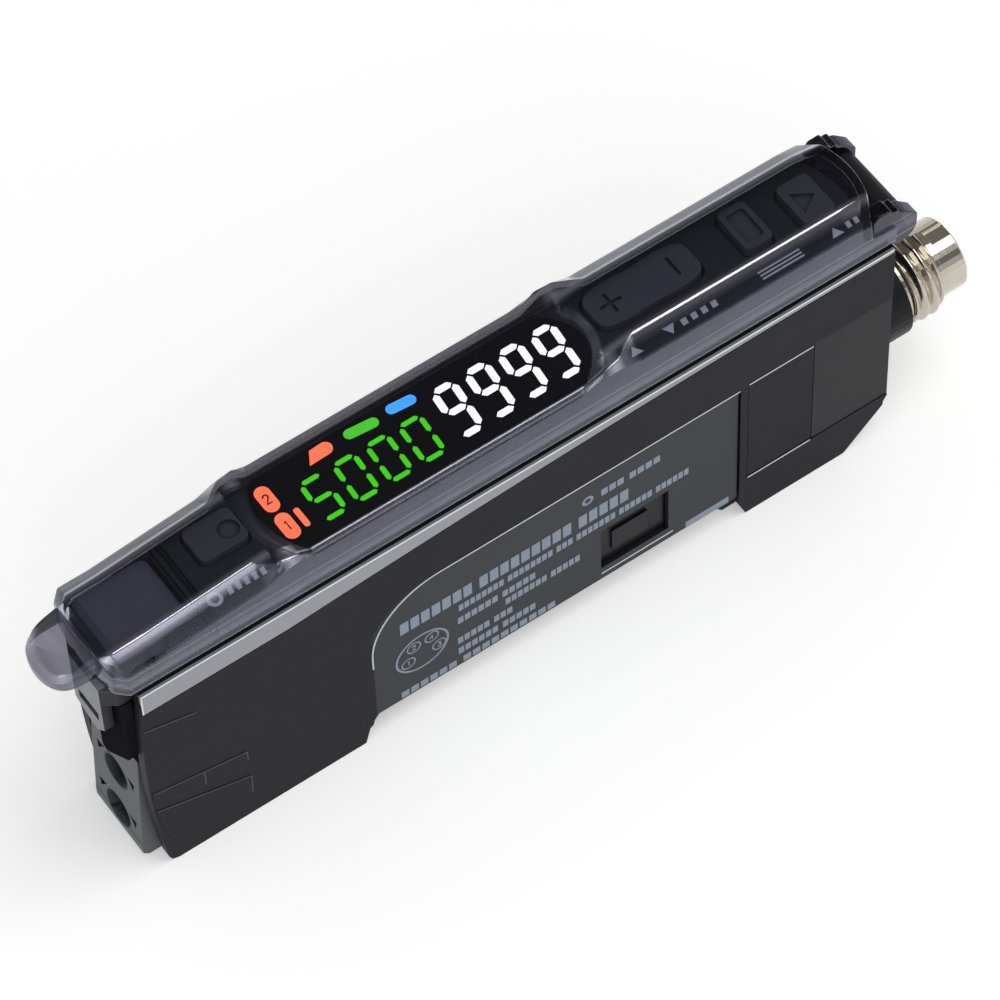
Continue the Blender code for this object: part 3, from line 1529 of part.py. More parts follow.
def main():
    clear_scene()
    black = (0.018, 0.018, 0.020)
    build_main_case(material("case_black", black, 0.55))
    build_side_cover(material("side_black", black, 0.5))
    build_strip(material("strip_silver", (0.50, 0.51, 0.52), 0.35, 0.6))
    build_label(material("label_grey", (0.055, 0.058, 0.065), 0.5))
    build_service_panel(material("panel_black", (0.02, 0.02, 0.022), 0.45))
    near = -half_width + LABEL_SINK + 0.25 * MM
    build_port_window("port_window_near", near, 1, material("port_near", (0.01, 0.01, 0.01), 0.2))
    far = half_width - 0.3 * MM
    build_port_window("port_window_far", far, -1, material("port_far", (0.01, 0.01, 0.01), 0.2))
    build_plug_housing(material("housing_black", (0.022, 0.023, 0.026), 0.45))
    build_plug_shell(material("nickel", (0.72, 0.68, 0.60), 0.2, 1.0))
    build_contact_carrier(material("carrier_black", (0.02, 0.02, 0.02), 0.5))
    build_contacts(material("contact_gold", (0.78, 0.55, 0.20), 0.25, 1.0))
    build_seal_ring(material("seal_rubber", (0.01, 0.01, 0.01), 0.7))
    build_connector_board(material("board_blue", (0.01, 0.06, 0.04), 0.5))
    build_fibre_block(material("block_grey", (0.10, 0.11, 0.12), 0.4))
    build_clamp(material("clamp_black", (0.03, 0.03, 0.03), 0.5))
    build_front_guard(material("guard_black", (0.015, 0.014, 0.015), 0.3))
    build_lever(material("lever_grey", (0.07, 0.075, 0.085), 0.45))
    build_lever_carrier(material("carrier_dark", (0.012, 0.012, 0.014), 0.35))
    build_lever_pin(material("pin_steel", (0.55, 0.55, 0.56), 0.3, 1.0))
    build_optics(
        material("optics_black", (0.02, 0.02, 0.02), 0.6),
        material("emitter_red", (0.5, 0.04, 0.03), 0.15),
        material("receiver_dark", (0.05, 0.03, 0.05), 0.15),
    )
    build_main_board(material("board_green", (0.01, 0.10, 0.05), 0.45))
    build_components(
        material("chip_black", (0.02, 0.02, 0.02), 0.6),
        material("shield_tin", (0.6, 0.6, 0.6), 0.35, 1.0),
        material("ferrite", (0.05, 0.05, 0.055), 0.7),
    )
    build_port_diodes(material("diode_clear", (0.2, 0.2, 0.25), 0.1))
    build_bezel(material("bezel_black", (0.012, 0.012, 0.015), 0.35))
    build_hinge_block(material("hinge_black", (0.04, 0.042, 0.048), 0.45))
    build_window(material("window_black", (0.004, 0.004, 0.006), 0.06))
    build_displays(material("display_grey", (0.03, 0.03, 0.03), 0.4))
    build_keys(material("key_dark", (0.03, 0.032, 0.036), 0.45))
    build_rocker(material("rocker_dark", (0.03, 0.032, 0.036), 0.4))
    build_rocker_axle(material("axle_steel", (0.5, 0.5, 0.5), 0.3, 1.0))
    build_switches(material("switch_grey", (0.12, 0.12, 0.12), 0.5))
    build_key_board(material("key_board_green", (0.01, 0.09, 0.05), 0.45))
    build_board_link(material("link_black", (0.03, 0.03, 0.03), 0.5))
    build_cover(material("cover_smoke", (0.28, 0.27, 0.36), 0.05, 0.0, 0.35))
    build_hinge_pin(material("hinge_steel", (0.5, 0.5, 0.52), 0.3, 1.0))


main()
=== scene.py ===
import json
import math

import bmesh
import bpy
import numpy as np
from mathutils import Matrix, Vector

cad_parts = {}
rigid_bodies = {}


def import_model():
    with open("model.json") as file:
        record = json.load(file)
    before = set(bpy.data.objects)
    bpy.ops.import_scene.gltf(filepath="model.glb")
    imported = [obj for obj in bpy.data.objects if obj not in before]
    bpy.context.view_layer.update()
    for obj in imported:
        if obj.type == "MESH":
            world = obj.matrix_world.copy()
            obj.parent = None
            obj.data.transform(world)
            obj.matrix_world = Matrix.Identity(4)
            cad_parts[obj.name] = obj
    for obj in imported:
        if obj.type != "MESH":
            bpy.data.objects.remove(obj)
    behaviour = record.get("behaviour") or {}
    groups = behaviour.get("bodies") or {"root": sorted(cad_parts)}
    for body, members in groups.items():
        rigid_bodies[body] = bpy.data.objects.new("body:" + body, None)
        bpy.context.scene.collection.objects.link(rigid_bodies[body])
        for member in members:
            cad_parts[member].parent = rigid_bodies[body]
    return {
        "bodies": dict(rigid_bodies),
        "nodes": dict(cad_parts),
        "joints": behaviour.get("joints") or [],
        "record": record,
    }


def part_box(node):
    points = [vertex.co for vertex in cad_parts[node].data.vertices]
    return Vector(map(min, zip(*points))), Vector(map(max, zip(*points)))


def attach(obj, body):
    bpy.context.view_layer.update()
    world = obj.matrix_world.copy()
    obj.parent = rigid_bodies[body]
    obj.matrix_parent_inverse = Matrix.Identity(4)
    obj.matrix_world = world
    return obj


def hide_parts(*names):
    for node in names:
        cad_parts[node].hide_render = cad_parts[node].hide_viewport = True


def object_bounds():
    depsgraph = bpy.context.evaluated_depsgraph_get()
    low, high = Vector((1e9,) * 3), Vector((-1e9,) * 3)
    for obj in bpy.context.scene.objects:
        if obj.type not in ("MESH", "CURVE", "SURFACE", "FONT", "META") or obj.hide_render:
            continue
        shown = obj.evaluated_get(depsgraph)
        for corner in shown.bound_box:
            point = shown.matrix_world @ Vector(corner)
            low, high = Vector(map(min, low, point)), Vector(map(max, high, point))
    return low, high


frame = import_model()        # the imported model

cadLow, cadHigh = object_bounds()
nodes = frame["nodes"]
mm = 0.001
print("frame loaded:", len(nodes), "nodes")


def inMm(corners):
    # a box's lowest and highest corner, from metres to millimetres
    return [np.array(corner) / mm for corner in corners]


def tone(red, green, blue):
    # screen colour 0 to 255 made linear: ((c + 0.055) / 1.055) to the power 2.4
    share = (np.array((red, green, blue)) / 255 + 0.055) / 1.055
    return (*(float(value) for value in share**2.4), 1.0)


class Wire:
    # a socket that does arithmetic: each operator adds one Math node
    def __init__(self, finish, socket):
        self.finish = finish
        self.socket = socket

    def math(self, operation, *values):
        return self.finish.make("ShaderNodeMath", {"operation": operation}, dict(enumerate(values)))

    def __add__(self, other):
        return self.math("ADD", self, other)

    def __sub__(self, other):
        return self.math("SUBTRACT", self, other)

    def __rsub__(self, other):
        return self.math("SUBTRACT", other, self)

    def __mul__(self, other):
        return self.math("MULTIPLY", self, other)

    def __truediv__(self, other):
        return self.math("DIVIDE", self, other)

    def __pow__(self, other):
        return self.math("POWER", self, other)

    def over(self, limit):
        return self.math("GREATER_THAN", self, limit)

    def under(self, limit):
        return self.math("LESS_THAN", self, limit)

    def size(self):
        return self.math("ABSOLUTE", self)

    def near(self, middle, reach):
        # 1 at the middle, falling to 0 at the reach on either side
        return (1.0 - (self - middle).size() / reach).clipped()

    def ramp(self, start, end):
        # 0 before start, 1 after end
        return ((self - start) / (end - start)).clipped()

    def clipped(self):
        return self.math("MINIMUM", self.math("MAXIMUM", self, 0.0), 1.0)

    __radd__ = __add__
    __rmul__ = __mul__


class Nodes:
    # one node tree, whose nodes all come from make()
    def __init__(self, tree, shader):
        self.tree = tree
        self.shader = tree.nodes[shader]

    def set(self, socket, value, node=None):
        target = (node or self.shader).inputs[socket]
        if isinstance(value, Wire):
            self.tree.links.new(value.socket, target)
        else:
            target.default_value = value

    def make(self, kind, settings=None, sockets=None, out=0):
        node = self.tree.nodes.new(kind)
        for name, value in (settings or {}).items():
            setattr(node, name, value)
        for socket, value in (sockets or {}).items():
            self.set(socket, value, node)
        return Wire(self, node.outputs[out])


class Finish(Nodes):
    # one material: constants on its Principled shader, the rest by nodes
    def __init__(self, name, colour, **fixed):
        self.material = bpy.data.materials.new(name)
        self.material.use_nodes = True
        super().__init__(self.material.node_tree, "Principled BSDF")
        self.colour = tone(*colour)
        self.set("Base Color", self.colour)
        for socket, value in fixed.items():
            self.set(socket.replace("_", " "), value)

    def place(self):
        return self.make("ShaderNodeTexCoord", out="Object")

    def along(self, axis):
        # the object's own X, Y or Z in millimetres
        split = self.make("ShaderNodeSeparateXYZ", {}, {0: self.place()}, axis)
        return split * 1000.0

    def noise(self, size, detail=2.0, stretch=(1.0, 1.0, 1.0)):
        # noise whose grains are so many millimetres across, drawn out by stretch
        scale = tuple(1.0 / (size * mm * part) for part in stretch)
        grid = self.make("ShaderNodeMapping", {}, {"Vector": self.place(), "Scale": scale})
        sockets = {"Vector": grid, "Scale": 1.0, "Detail": detail}
        return self.make("ShaderNodeTexNoise", {}, sockets)

    def mixed(self, share, first, second):
        settings = {"data_type": "RGBA"}
        return self.make("ShaderNodeMix", settings, {0: share, 6: first, 7: second}, 2)

    def lit(self, colour, light):
        # a colour made lighter or darker all over by one number
        return self.make("ShaderNodeVectorMath", {"operation": "SCALE"}, {0: colour, 3: light})

    def bump(self, height, depth, normal=None):
        sockets = {"Height": height, "Distance": depth * mm}
        if normal:
            sockets["Normal"] = normal
        return self.make("ShaderNodeBump", {}, sockets)

    def rounded(self, radius):
        return self.make("ShaderNodeBevel", {"samples": 8}, {"Radius": radius * mm})

    def open(self, reach):
        # 1 on open faces, less in the piece's own corners, holes and grooves
        settings = {"samples": 8, "only_local": True}
        return self.make("ShaderNodeAmbientOcclusion", settings, {"Distance": reach * mm}, "AO")

    def rim(self, smooth, gain):
        # 1 on edges, 0 on flats: how far the rounded normal leans from the true one
        flat = self.make("ShaderNodeNewGeometry", out="True Normal")
        lean = self.make("ShaderNodeVectorMath", {"operation": "DOT_PRODUCT"}, {0: smooth, 1: flat}, 1)
        return ((1.0 - lean) * gain).clipped()


def moulded(name, colour, roughness, grain=0.1, depth=0.004, shade=0.05,
            edge=0.07, edgeHighlight=0.5, deep=0.0, **fixed):
    # broad patches vary the colour's tone, fine grain breaks the gloss, rounded edges get a painted highlight,
    # and corners, holes and grooves get painted shade as deep as the given reach
    finish = Finish(name, colour, Roughness=roughness, **fixed)
    fine = finish.noise(grain, 3.0)
    broad = finish.noise(8.0, 2.0)
    smooth = finish.rounded(edge)
    rim = finish.rim(smooth, 6.0)
    # random tone from the two noises, plus a painted highlight on rounded edges from the rim mask
    light = 1.0 + (broad - 0.5) * (3 * shade) + (fine - 0.5) * (3 * shade) + rim * edgeHighlight
    # painted shade: the colour darkens in the piece's own corners, holes and grooves
    if deep:
        light = light * (0.12 + 0.88 * finish.open(deep) ** 2.0)
    finish.set("Base Color", finish.lit(finish.colour[:3], light))
    finish.set("Roughness", roughness + (fine - 0.5) * 0.16 + (broad - 0.5) * 0.08)
    finish.set("Normal", finish.bump(fine, depth, smooth))
    return finish


def plated(name, colour, roughness, line=0.02, stretch=(1.0, 60.0, 60.0), edge=0.05):
    # turned metal: fine lines round the axis vary gloss and height, edges are brighter
    finish = Finish(name, colour, Roughness=roughness, Metallic=1.0)
    lines = finish.noise(line, 2.0, stretch)
    broad = finish.noise(1.6, 2.0)
    smooth = finish.rounded(edge)
    finish.set("Base Color", finish.lit(finish.colour[:3], 0.92 + broad * 0.16))
    finish.set("Roughness", roughness + (lines - 0.5) * 0.14 + (broad - 0.5) * 0.1)
    finish.set("Normal", finish.bump(lines, 0.0008, smooth))
    return finish


def glossy(name, near, far, edgeX, roughness=0.09):
    # dark glass over the display: its tint turns from near to far along the length
    finish = Finish(name, near, Roughness=roughness, Coat_Roughness=0.04, Specular_IOR_Level=0.3)
    turn = ((finish.along("X") - edgeX) / 3.0 + 0.5).clipped()
    cloud = finish.noise(3.0, 2.0)
    tint = finish.mixed(turn, tone(*near), tone(*far))
    finish.set("Base Color", finish.lit(tint, 0.85 + cloud * 0.3))
    finish.set("Roughness", roughness + (cloud - 0.5) * 0.05)
    finish.set("Normal", finish.rounded(0.12))
    return finish


def glowing(name, colour, strength, patch=1.2):
    # lit plastic: the light is a little brighter in patches
    finish = Finish(name, colour, Roughness=0.35)
    cloud = finish.noise(patch, 2.0)
    finish.set("Base Color", finish.lit(finish.colour[:3], 0.25 + cloud * 0.1))
    finish.set("Emission Color", finish.lit(finish.colour[:3], 0.9 + cloud * 0.2))
    finish.set("Emission Strength", strength)
    return finish


def smoked(name, look):
    # clear tinted plastic: a mirror over a clear sheet, whose share is least + slanted (1 - cos)^5
    # on its faces; painted highlights add more on edges, on the two ridges, round the window and on the flared
    # corners beside it, painted reflections add level bands along the walls, and the far wall gets painted
    # shade
    finish = Finish(name, look["colour"], Roughness=look["roughness"], Metallic=1.0)
    smooth = finish.rounded(look["edge"])
    rim = finish.rim(smooth, look["rimGain"])
    slant = finish.make("ShaderNodeLayerWeight", {}, {"Blend": 0.5}, "Facing")
    along, side = finish.along("X"), finish.along("Y").size()
    normal = finish.make("ShaderNodeTexCoord", out="Normal")
    up = finish.make("ShaderNodeSeparateXYZ", {}, {0: normal}, "Z").size()
    cloud = finish.noise(2.5, 2.0)
    streak = finish.noise(0.22, 2.0, (120.0, 1.0, 1.0))
    height = finish.along("Z") - look["base"]
    level, steep = look["level"], look["steep"]    # limits of the normal's upward share
    # painted reflections: the walls take more mirror in level bands, broken by streaks, with a lighter tint
    wall = up.ramp(*look["upright"])
    bands = sum((height.near(place, reach) * gain for place, reach, gain in look["bands"]), look["plain"])
    inside = along.over(look["window"][0]) * along.under(look["window"][1])
    # painted highlight: a line round the window
    frame = side.near(look["frame"], look["frameWidth"]) * inside * up.over(steep)
    outside = along.under(look["window"][0]) + along.over(look["window"][1])
    # painted highlight along the two ridges, broken by streaks
    ridge = side.near(look["ridge"], look["ridgeWidth"]) * up.over(look["ridgeSteep"]) * outside
    # painted highlights on the flared corners beside the window
    flare = sum((along.near(place, look["flareWidth"]) for place in look["flares"]), 0.0)
    flare = flare * side.over(look["ridge"] + look["flareGap"]) * up.over(steep)
    # painted shade: the far wall takes more mirror in a dark tint
    far = finish.along("Y").over(look["farEdge"]) * up.under(level)
    # painted highlight on edges from the rim mask
    share = look["least"] + slant**5.0 * look["slanted"] + rim * look["rimShare"]
    share = share + wall * look["wall"] * (bands + (streak - 0.5) * look["wallStreak"])
    share = share + ridge * look["ridgeShare"] * (1.0 + (streak - 0.5) * look["ridgeStreak"])
    share = share + flare * look["flareShare"] + frame * look["frameShare"] + far * look["farShare"]
    tint = finish.mixed(wall, finish.colour, tone(*look["wallColour"]))
    tint = finish.mixed(far * (1.0 - rim), tint, tone(*look["farColour"]))
    finish.set("Base Color", finish.lit(tint, 0.9 + cloud * 0.2))
    finish.set("Roughness", look["roughness"] + (cloud - 0.5) * 0.04)
    finish.set("Normal", smooth)
    clear = finish.make("ShaderNodeBsdfTransparent", {}, {"Color": tone(*look["tint"])})
    solid = Wire(finish, finish.shader.outputs[0])
    both = finish.make("ShaderNodeMixShader", {}, {0: share.clipped(), 1: clear, 2: solid})
    finish.set("Surface", both, finish.tree.nodes["Material Output"])
    return finish


caseLow, caseHigh = inMm(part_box("side_cover"))
glassLow, glassHigh = inMm(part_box("display_window"))
blockLow, blockHigh = inMm(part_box("fibre_block"))
# the smoked cover's look: the rim, ridge, frame and flare shares are painted highlights, the wall, bands and
# wall colour painted reflections, and the far share and far colour painted shade
coverLook = {
    "colour": (232, 231, 246),
    "tint": (222, 222, 228),
    "roughness": 0.06,
    "edge": 0.09,
    "rimGain": 5.0,
    "rimShare": 0.35,
    "least": 0.02,
    "slanted": 0.95,
    "level": 0.75,
    "steep": 0.3,
    "upright": (0.6, 0.2),
    "wall": 0.24,
    "wallStreak": 0.12,
    "wallColour": (176, 175, 190),
    "base": caseHigh[2],
    "plain": 0.58,
    "bands": ((1.0, 0.16, 1.0), (2.1, 0.75, 0.5), (3.0, 0.13, 0.9)),
    "farEdge": 3.0,
    "farShare": 0.6,
    "farColour": (60, 60, 74),
    "frame": 4.35,
    "frameWidth": 0.14,
    "frameShare": 0.35,
    "ridge": 3.2,
    "ridgeWidth": 0.5,
    "ridgeSteep": 0.4,
    "ridgeStreak": 0.2,
    "ridgeShare": 0.42,
    "window": (glassLow[0] - 1.6, glassHigh[0] - 0.6),
    "flares": (glassLow[0] - 0.5, glassHigh[0] - 0.4),
    "flareWidth": 0.9,
    "flareGap": 0.15,
    "flareShare": 0.4,
}
# the nose's flare is a painted highlight on its lit facet
noseLook = {**coverLook, "tint": (184, 183, 191), "rimShare": 0.3, "wall": 0.12,
            "ridge": -1.0, "ridgeShare": 0.0, "flares": (-42.3,), "flareShare": 0.3}
lugLook = {**coverLook, "tint": (128, 126, 134), "roughness": 0.12, "rimShare": 0.2, "ridgeShare": 0.0}
windowTurn = glassLow[0] + 16.2    # where the glass turns from its warm tint to its cold one
# the pad's darker grey is painted shade under the cover, and the shade colour is painted shade at the head's
# near end
leverLook = {"arm": (140, 143, 147), "pad": (104, 107, 114), "shade": (30, 30, 34),
             "padStart": 22.6, "padEnd": 23.3, "nearEdge": -2.9}
# the black is painted shade deep in the bores
boreLook = {"grey": (100, 104, 106), "black": (6, 6, 6), "heights": (0.2, 5.6), "radius": 1.775, "deep": 1.0}


def recoloured(finish, colour):
    # the colour that the finish shades is changed, and its grain and rims stay
    light = finish.shader.inputs["Base Color"].links[0].from_node
    finish.set(0, colour, light)
    return finish


def leverGrey(look):
    # painted shade: the pad under the cover is darker than the arm ahead of it, and the head's near end is in
    # shade
    finish = moulded("leverGrey", look["arm"], 0.45, 0.14, 0.004, 0.03,
                     edgeHighlight=0.35, deep=1.2, Specular_IOR_Level=0.2)
    pad = finish.along("Z").ramp(look["padStart"], look["padEnd"])
    end = finish.along("Y").under(look["nearEdge"]) * (1.0 - pad)
    head = finish.mixed(end, tone(*look["arm"]), tone(*look["shade"]))
    return recoloured(finish, finish.mixed(pad, head, tone(*look["pad"])))


def fibreGrey(look):
    # painted shade: inside the radius of each bore the grey turns black with the depth
    finish = moulded("fibreBlock", look["grey"], 0.5, 0.3, 0.004, 0.04,
                     edgeHighlight=0.35, deep=2.0, Specular_IOR_Level=0.2)
    face = blockLow[0]
    deep = finish.along("X").ramp(face + 0.02, face + look["deep"])
    across, inside = finish.along("Y"), 0.0
    for height in look["heights"]:
        up = finish.along("Z") - height
        inside = inside + (across * across + up * up).under(look["radius"] ** 2)
    black = inside * (0.5 + deep * 0.5)
    return recoloured(finish, finish.mixed(black, tone(*look["grey"]), tone(*look["black"])))


# in these finishes the reach given as deep paints shade into corners, holes, grooves and recessed marks, and
# rounded edges get a painted highlight
finishes = {
    "case_plastic": moulded("texturedCase", (21, 21, 28), 0.5, 0.2, 0.014, 0.1, deep=0.7,
                            Specular_IOR_Level=0.12),
    "strip_silver": moulded("silverStrip", (152, 154, 160), 0.36, 0.08, 0.002, 0.03, edgeHighlight=0.6, Metallic=0.35),
    "label_grey": moulded("labelSheet", (44, 46, 53), 0.5, 0.2, 0.002, 0.03, Specular_IOR_Level=0.25),
    "window_black": glossy("displayGlass", (12, 6, 8), (3, 4, 11), windowTurn),
    "housing_plastic": moulded("plugHousing", (26, 26, 30), 0.42, 0.25, 0.006, 0.09, deep=0.7,
                               Specular_IOR_Level=0.15),
    "nickel": plated("nickelPlate", (196, 189, 176), 0.17),
    "inner_plastic": moulded("innerPlastic", (30, 30, 33), 0.5),
    "contact_gold": plated("goldContact", (226, 180, 92), 0.25),
    "seal_rubber": moulded("sealRubber", (24, 24, 25), 0.7, 0.06, 0.003),
    "board": moulded("circuitBoard", (26, 78, 48), 0.4, 0.5, 0.01, 0.2),
    "block_grey": fibreGrey(boreLook),
    "guard_black": moulded("glossyGuard", (34, 33, 38), 0.3, 0.6, 0.001, 0.04, deep=0.8,
                           Specular_IOR_Level=0.0),
    "lever_grey": leverGrey(leverLook),
    "bezel_black": moulded("keyPanel", (56, 58, 63), 0.5, 0.3, 0.001, 0.02, deep=1.2, Specular_IOR_Level=0.2),
    "steel": plated("turnedSteel", (190, 190, 190), 0.28, stretch=(60.0, 1.0, 60.0)),
    "emitter_red": moulded("emitterRed", (170, 40, 34), 0.15, 0.8, 0.001),
    "receiver_dark": moulded("receiverDark", (40, 26, 40), 0.15, 0.8, 0.001),
    "chip_black": moulded("chipBlack", (32, 32, 33), 0.55, 0.08, 0.004),
    "ferrite": moulded("ferriteGrey", (72, 70, 68), 0.6, 0.1, 0.006),
    "shield_tin": plated("tinShield", (200, 202, 204), 0.32, 0.4, (1.0, 1.0, 1.0)),
    "switch_grey": moulded("switchGrey", (120, 120, 122), 0.5),
    "display_grey": moulded("displayGrey", (150, 150, 146), 0.5),
    "key_dark": moulded("keyRubber", (90, 93, 98), 0.5, 0.3, 0.001, 0.02, edgeHighlight=0.8, deep=0.5,
                        Specular_IOR_Level=0.2),
    "hinge_plastic": moulded("hingePlastic", (30, 30, 34), 0.45, deep=1.0, Specular_IOR_Level=0.15),
    "cover_smoke": smoked("smokedCover", coverLook),
}
# the port window gets strong painted highlights on its edges and painted shade in its recess
portLook = moulded("portGlass", (24, 23, 27), 0.3, 0.6, 0.001, 0.05,
                   edge=0.05, edgeHighlight=1.5, deep=0.6, Specular_IOR_Level=0.1)
blackSteel = plated("blackSteel", (62, 62, 66), 0.35, stretch=(60.0, 1.0, 60.0))
ownFinish = {  # nodes whose finish differs from their slot's
    "port_window_near": portLook,
    "port_window_far": portLook,
    "lever_pin": blackSteel,
    "hinge_pin": blackSteel,
}
for part in frame["record"]["subparts"]:
    slots = nodes[part["node"]].data.materials
    slots.clear()
    slots.append(ownFinish.get(part["node"], finishes[part["material_slot"]]).material)
print("finishes made:", len(finishes))


def gridFaces(rows, columns, closeRows=False, closeColumns=False):
    # quads between neighbours of a grid of points, by index arithmetic
    row = np.arange(rows if closeRows else rows - 1)
    column = np.arange(columns if closeColumns else columns - 1)
    row, column = np.meshgrid(row, column, indexing="ij")
    nextRow = (row + 1) % rows
    nextColumn = (column + 1) % columns
    corners = (row * columns + column, row * columns + nextColumn)
    corners += (nextRow * columns + nextColumn, nextRow * columns + column)
    return np.stack(corners, -1).reshape(-1, 4)


def putPiece(name, parts, body, slot, finish=None, replaced=(), sharp=30.0):
    # parts are (points, faces) pairs, joined into one mesh whose normals are turned outwards
    points, faces, count = [], [], 0
    for spots, quads in parts:
        spots = np.asarray(spots, float).reshape(-1, 3)
        points.append(spots)
        faces += [[int(corner) + count for corner in quad] for quad in quads]
        count += len(spots)
    mesh = bpy.data.meshes.new(name)
    mesh.from_pydata(np.vstack(points).tolist(), [], faces)
    mesh.validate()
    piece = bpy.data.objects.new(name, mesh)
    bpy.context.scene.collection.objects.link(piece)
    mesh.materials.append((finish or finishes[slot]).material)
    mesh.shade_smooth()
    mesh.set_sharp_from_angle(angle=math.radians(sharp))
    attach(piece, body)
    if replaced:
        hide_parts(*replaced)
    return piece


def putMarks(name, parts, slot, finish=None):
    # thin flat pieces on the case, with every corner sharp
    return putPiece(name, parts, "case", slot, finish, sharp=20.0)


def lay(points, face):
    # (u, v, height) on a face: top is X, Y and up along Z; side is X, Z and out along -Y
    u, v, height = np.moveaxis(np.asarray(points, float), -1, 0)
    axes = {"top": (u, v, height), "side": (u, -height, v)}
    return np.stack(axes[face], -1) * mm


def plate(outline, low, high, face="top"):
    # a flat outline made a thin solid: a ring of quads between its two faces
    flat = np.asarray(outline, float)
    after = np.roll(flat, -1, 0)
    if np.sum(flat[:, 0] * after[:, 1] - flat[:, 1] * after[:, 0]) < 0:
        flat = flat[::-1]
    size = len(flat)
    levels = [np.column_stack([flat, np.full(size, level)]) for level in (low, high)]
    ring = np.arange(size)
    following = np.roll(ring, -1)
    sides = np.column_stack([ring, following, following + size, ring + size]).tolist()
    return lay(np.vstack(levels), face), sides + [ring[::-1].tolist(), (ring + size).tolist()]


def stroke(path, width, low, high, face="top", closed=False):
    # a line of even width: a rectangle carried along the path, mitred at its corners
    path = np.asarray(path, float)
    if closed:
        ahead = np.roll(path, -1, 0) - path
        behind = np.roll(ahead, 1, 0)
    else:
        ahead = np.diff(path, axis=0, append=path[-1:])
        ahead[-1] = ahead[-2]
        behind = np.vstack([ahead[:1], ahead[:-1]])
    ahead = ahead / np.linalg.norm(ahead, axis=1, keepdims=True)
    behind = behind / np.linalg.norm(behind, axis=1, keepdims=True)
    out = np.stack([-ahead[:, 1] - behind[:, 1], ahead[:, 0] + behind[:, 0]], -1)
    out = out / np.maximum(np.sum(out**2, 1, keepdims=True) / 2, 0.5)
    left = path + out * width / 2
    right = path - out * width / 2
    ring = [(right, low), (left, low), (left, high), (right, high)]
    grid = np.stack([np.column_stack([side, np.full(len(path), level)]) for side, level in ring], 1)
    faces = gridFaces(len(path), 4, closed, True).tolist()
    if not closed:
        last = 4 * len(path) - 4
        faces += [[3, 2, 1, 0], [last, last + 1, last + 2, last + 3]]
    return lay(grid.reshape(-1, 3), face), faces


def bar(start, end, thick):
    # a display segment: a bar with pointed ends
    start, end = np.asarray(start, float), np.asarray(end, float)
    along = (end - start) / np.linalg.norm(end - start)
    across = np.array((-along[1], along[0])) * thick / 2
    tip = along * thick / 2
    return [start, start + tip - across, end - tip - across, end, end - tip + across, start + tip + across]


def pill(middle, length, width, turn=0.0, steps=12):
    # a stadium: two half circles joined by straight sides
    angles = np.linspace(-math.pi / 2, math.pi / 2, steps)
    reach = (length - width) / 2
    half = np.column_stack([reach + width / 2 * np.cos(angles), width / 2 * np.sin(angles)])
    whole = np.vstack([half, -half])
    cosine, sine = math.cos(turn), math.sin(turn)
    return whole @ np.array([[cosine, sine], [-sine, cosine]]) + np.asarray(middle)


def ringPath(middle, radius, steps=48, squeeze=1.0, start=0.0, sweep=2 * math.pi):
    closed = abs(sweep - 2 * math.pi) < 1e-6
    angles = np.linspace(start, start + sweep, steps, endpoint=not closed)
    return np.asarray(middle) + radius * np.column_stack([np.cos(angles), squeeze * np.sin(angles)])


def roundRows(grid, reach, steps):
    # each inner row of points is turned into a soft bend: a quadratic curve between
    # points at the given reach along the ways to the rows before and after it
    ways = np.diff(grid, axis=0)
    lengths = np.maximum(np.linalg.norm(ways, axis=-1, keepdims=True), 1e-9)
    shares = np.minimum(reach / lengths, 0.45)
    corner = grid[1:-1, None]
    before = corner - (ways * shares)[:-1, None]
    after = corner + (ways * shares)[1:, None]
    t = np.linspace(0.0, 1.0, steps)[None, :, None, None]
    bend = before * (1 - t) ** 2 + corner * 2 * t * (1 - t) + after * t**2
    return np.concatenate([grid[:1], bend.reshape(-1, *grid.shape[1:]), grid[-1:]])


coverShape = {  # millimetres; heights are above the side walls
    "wall": 0.5,
    "half": 4.95,
    "ridge": 3.2,
    "chamfer": 1.5,
    "skirt": 0.9,
    "ahead": 1.15,
    "frontTop": 4.85,
    "hump": 5.85,
    "flat": 5.2,
    "rear": 6.45,
    "bowFront": 1.85,
    "bowRear": 3.6,
    "step": 1.25,
    "ear": 1.45,
    "fade": 2.0,
    "rearBow": 1.5,
    "rearSetback": 2.5,
    "softness": 0.16,
}
sideTop = caseHigh[2]
pinLow, pinHigh = inMm(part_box("hinge_pin"))
caseFront, caseRear = caseLow[0], caseHigh[0]
hinge = ((pinLow[0] + pinHigh[0]) / 2, (pinLow[2] + pinHigh[2]) / 2)
lugRadius = inMm(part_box("protective_cover"))[1][0] - hinge[0]


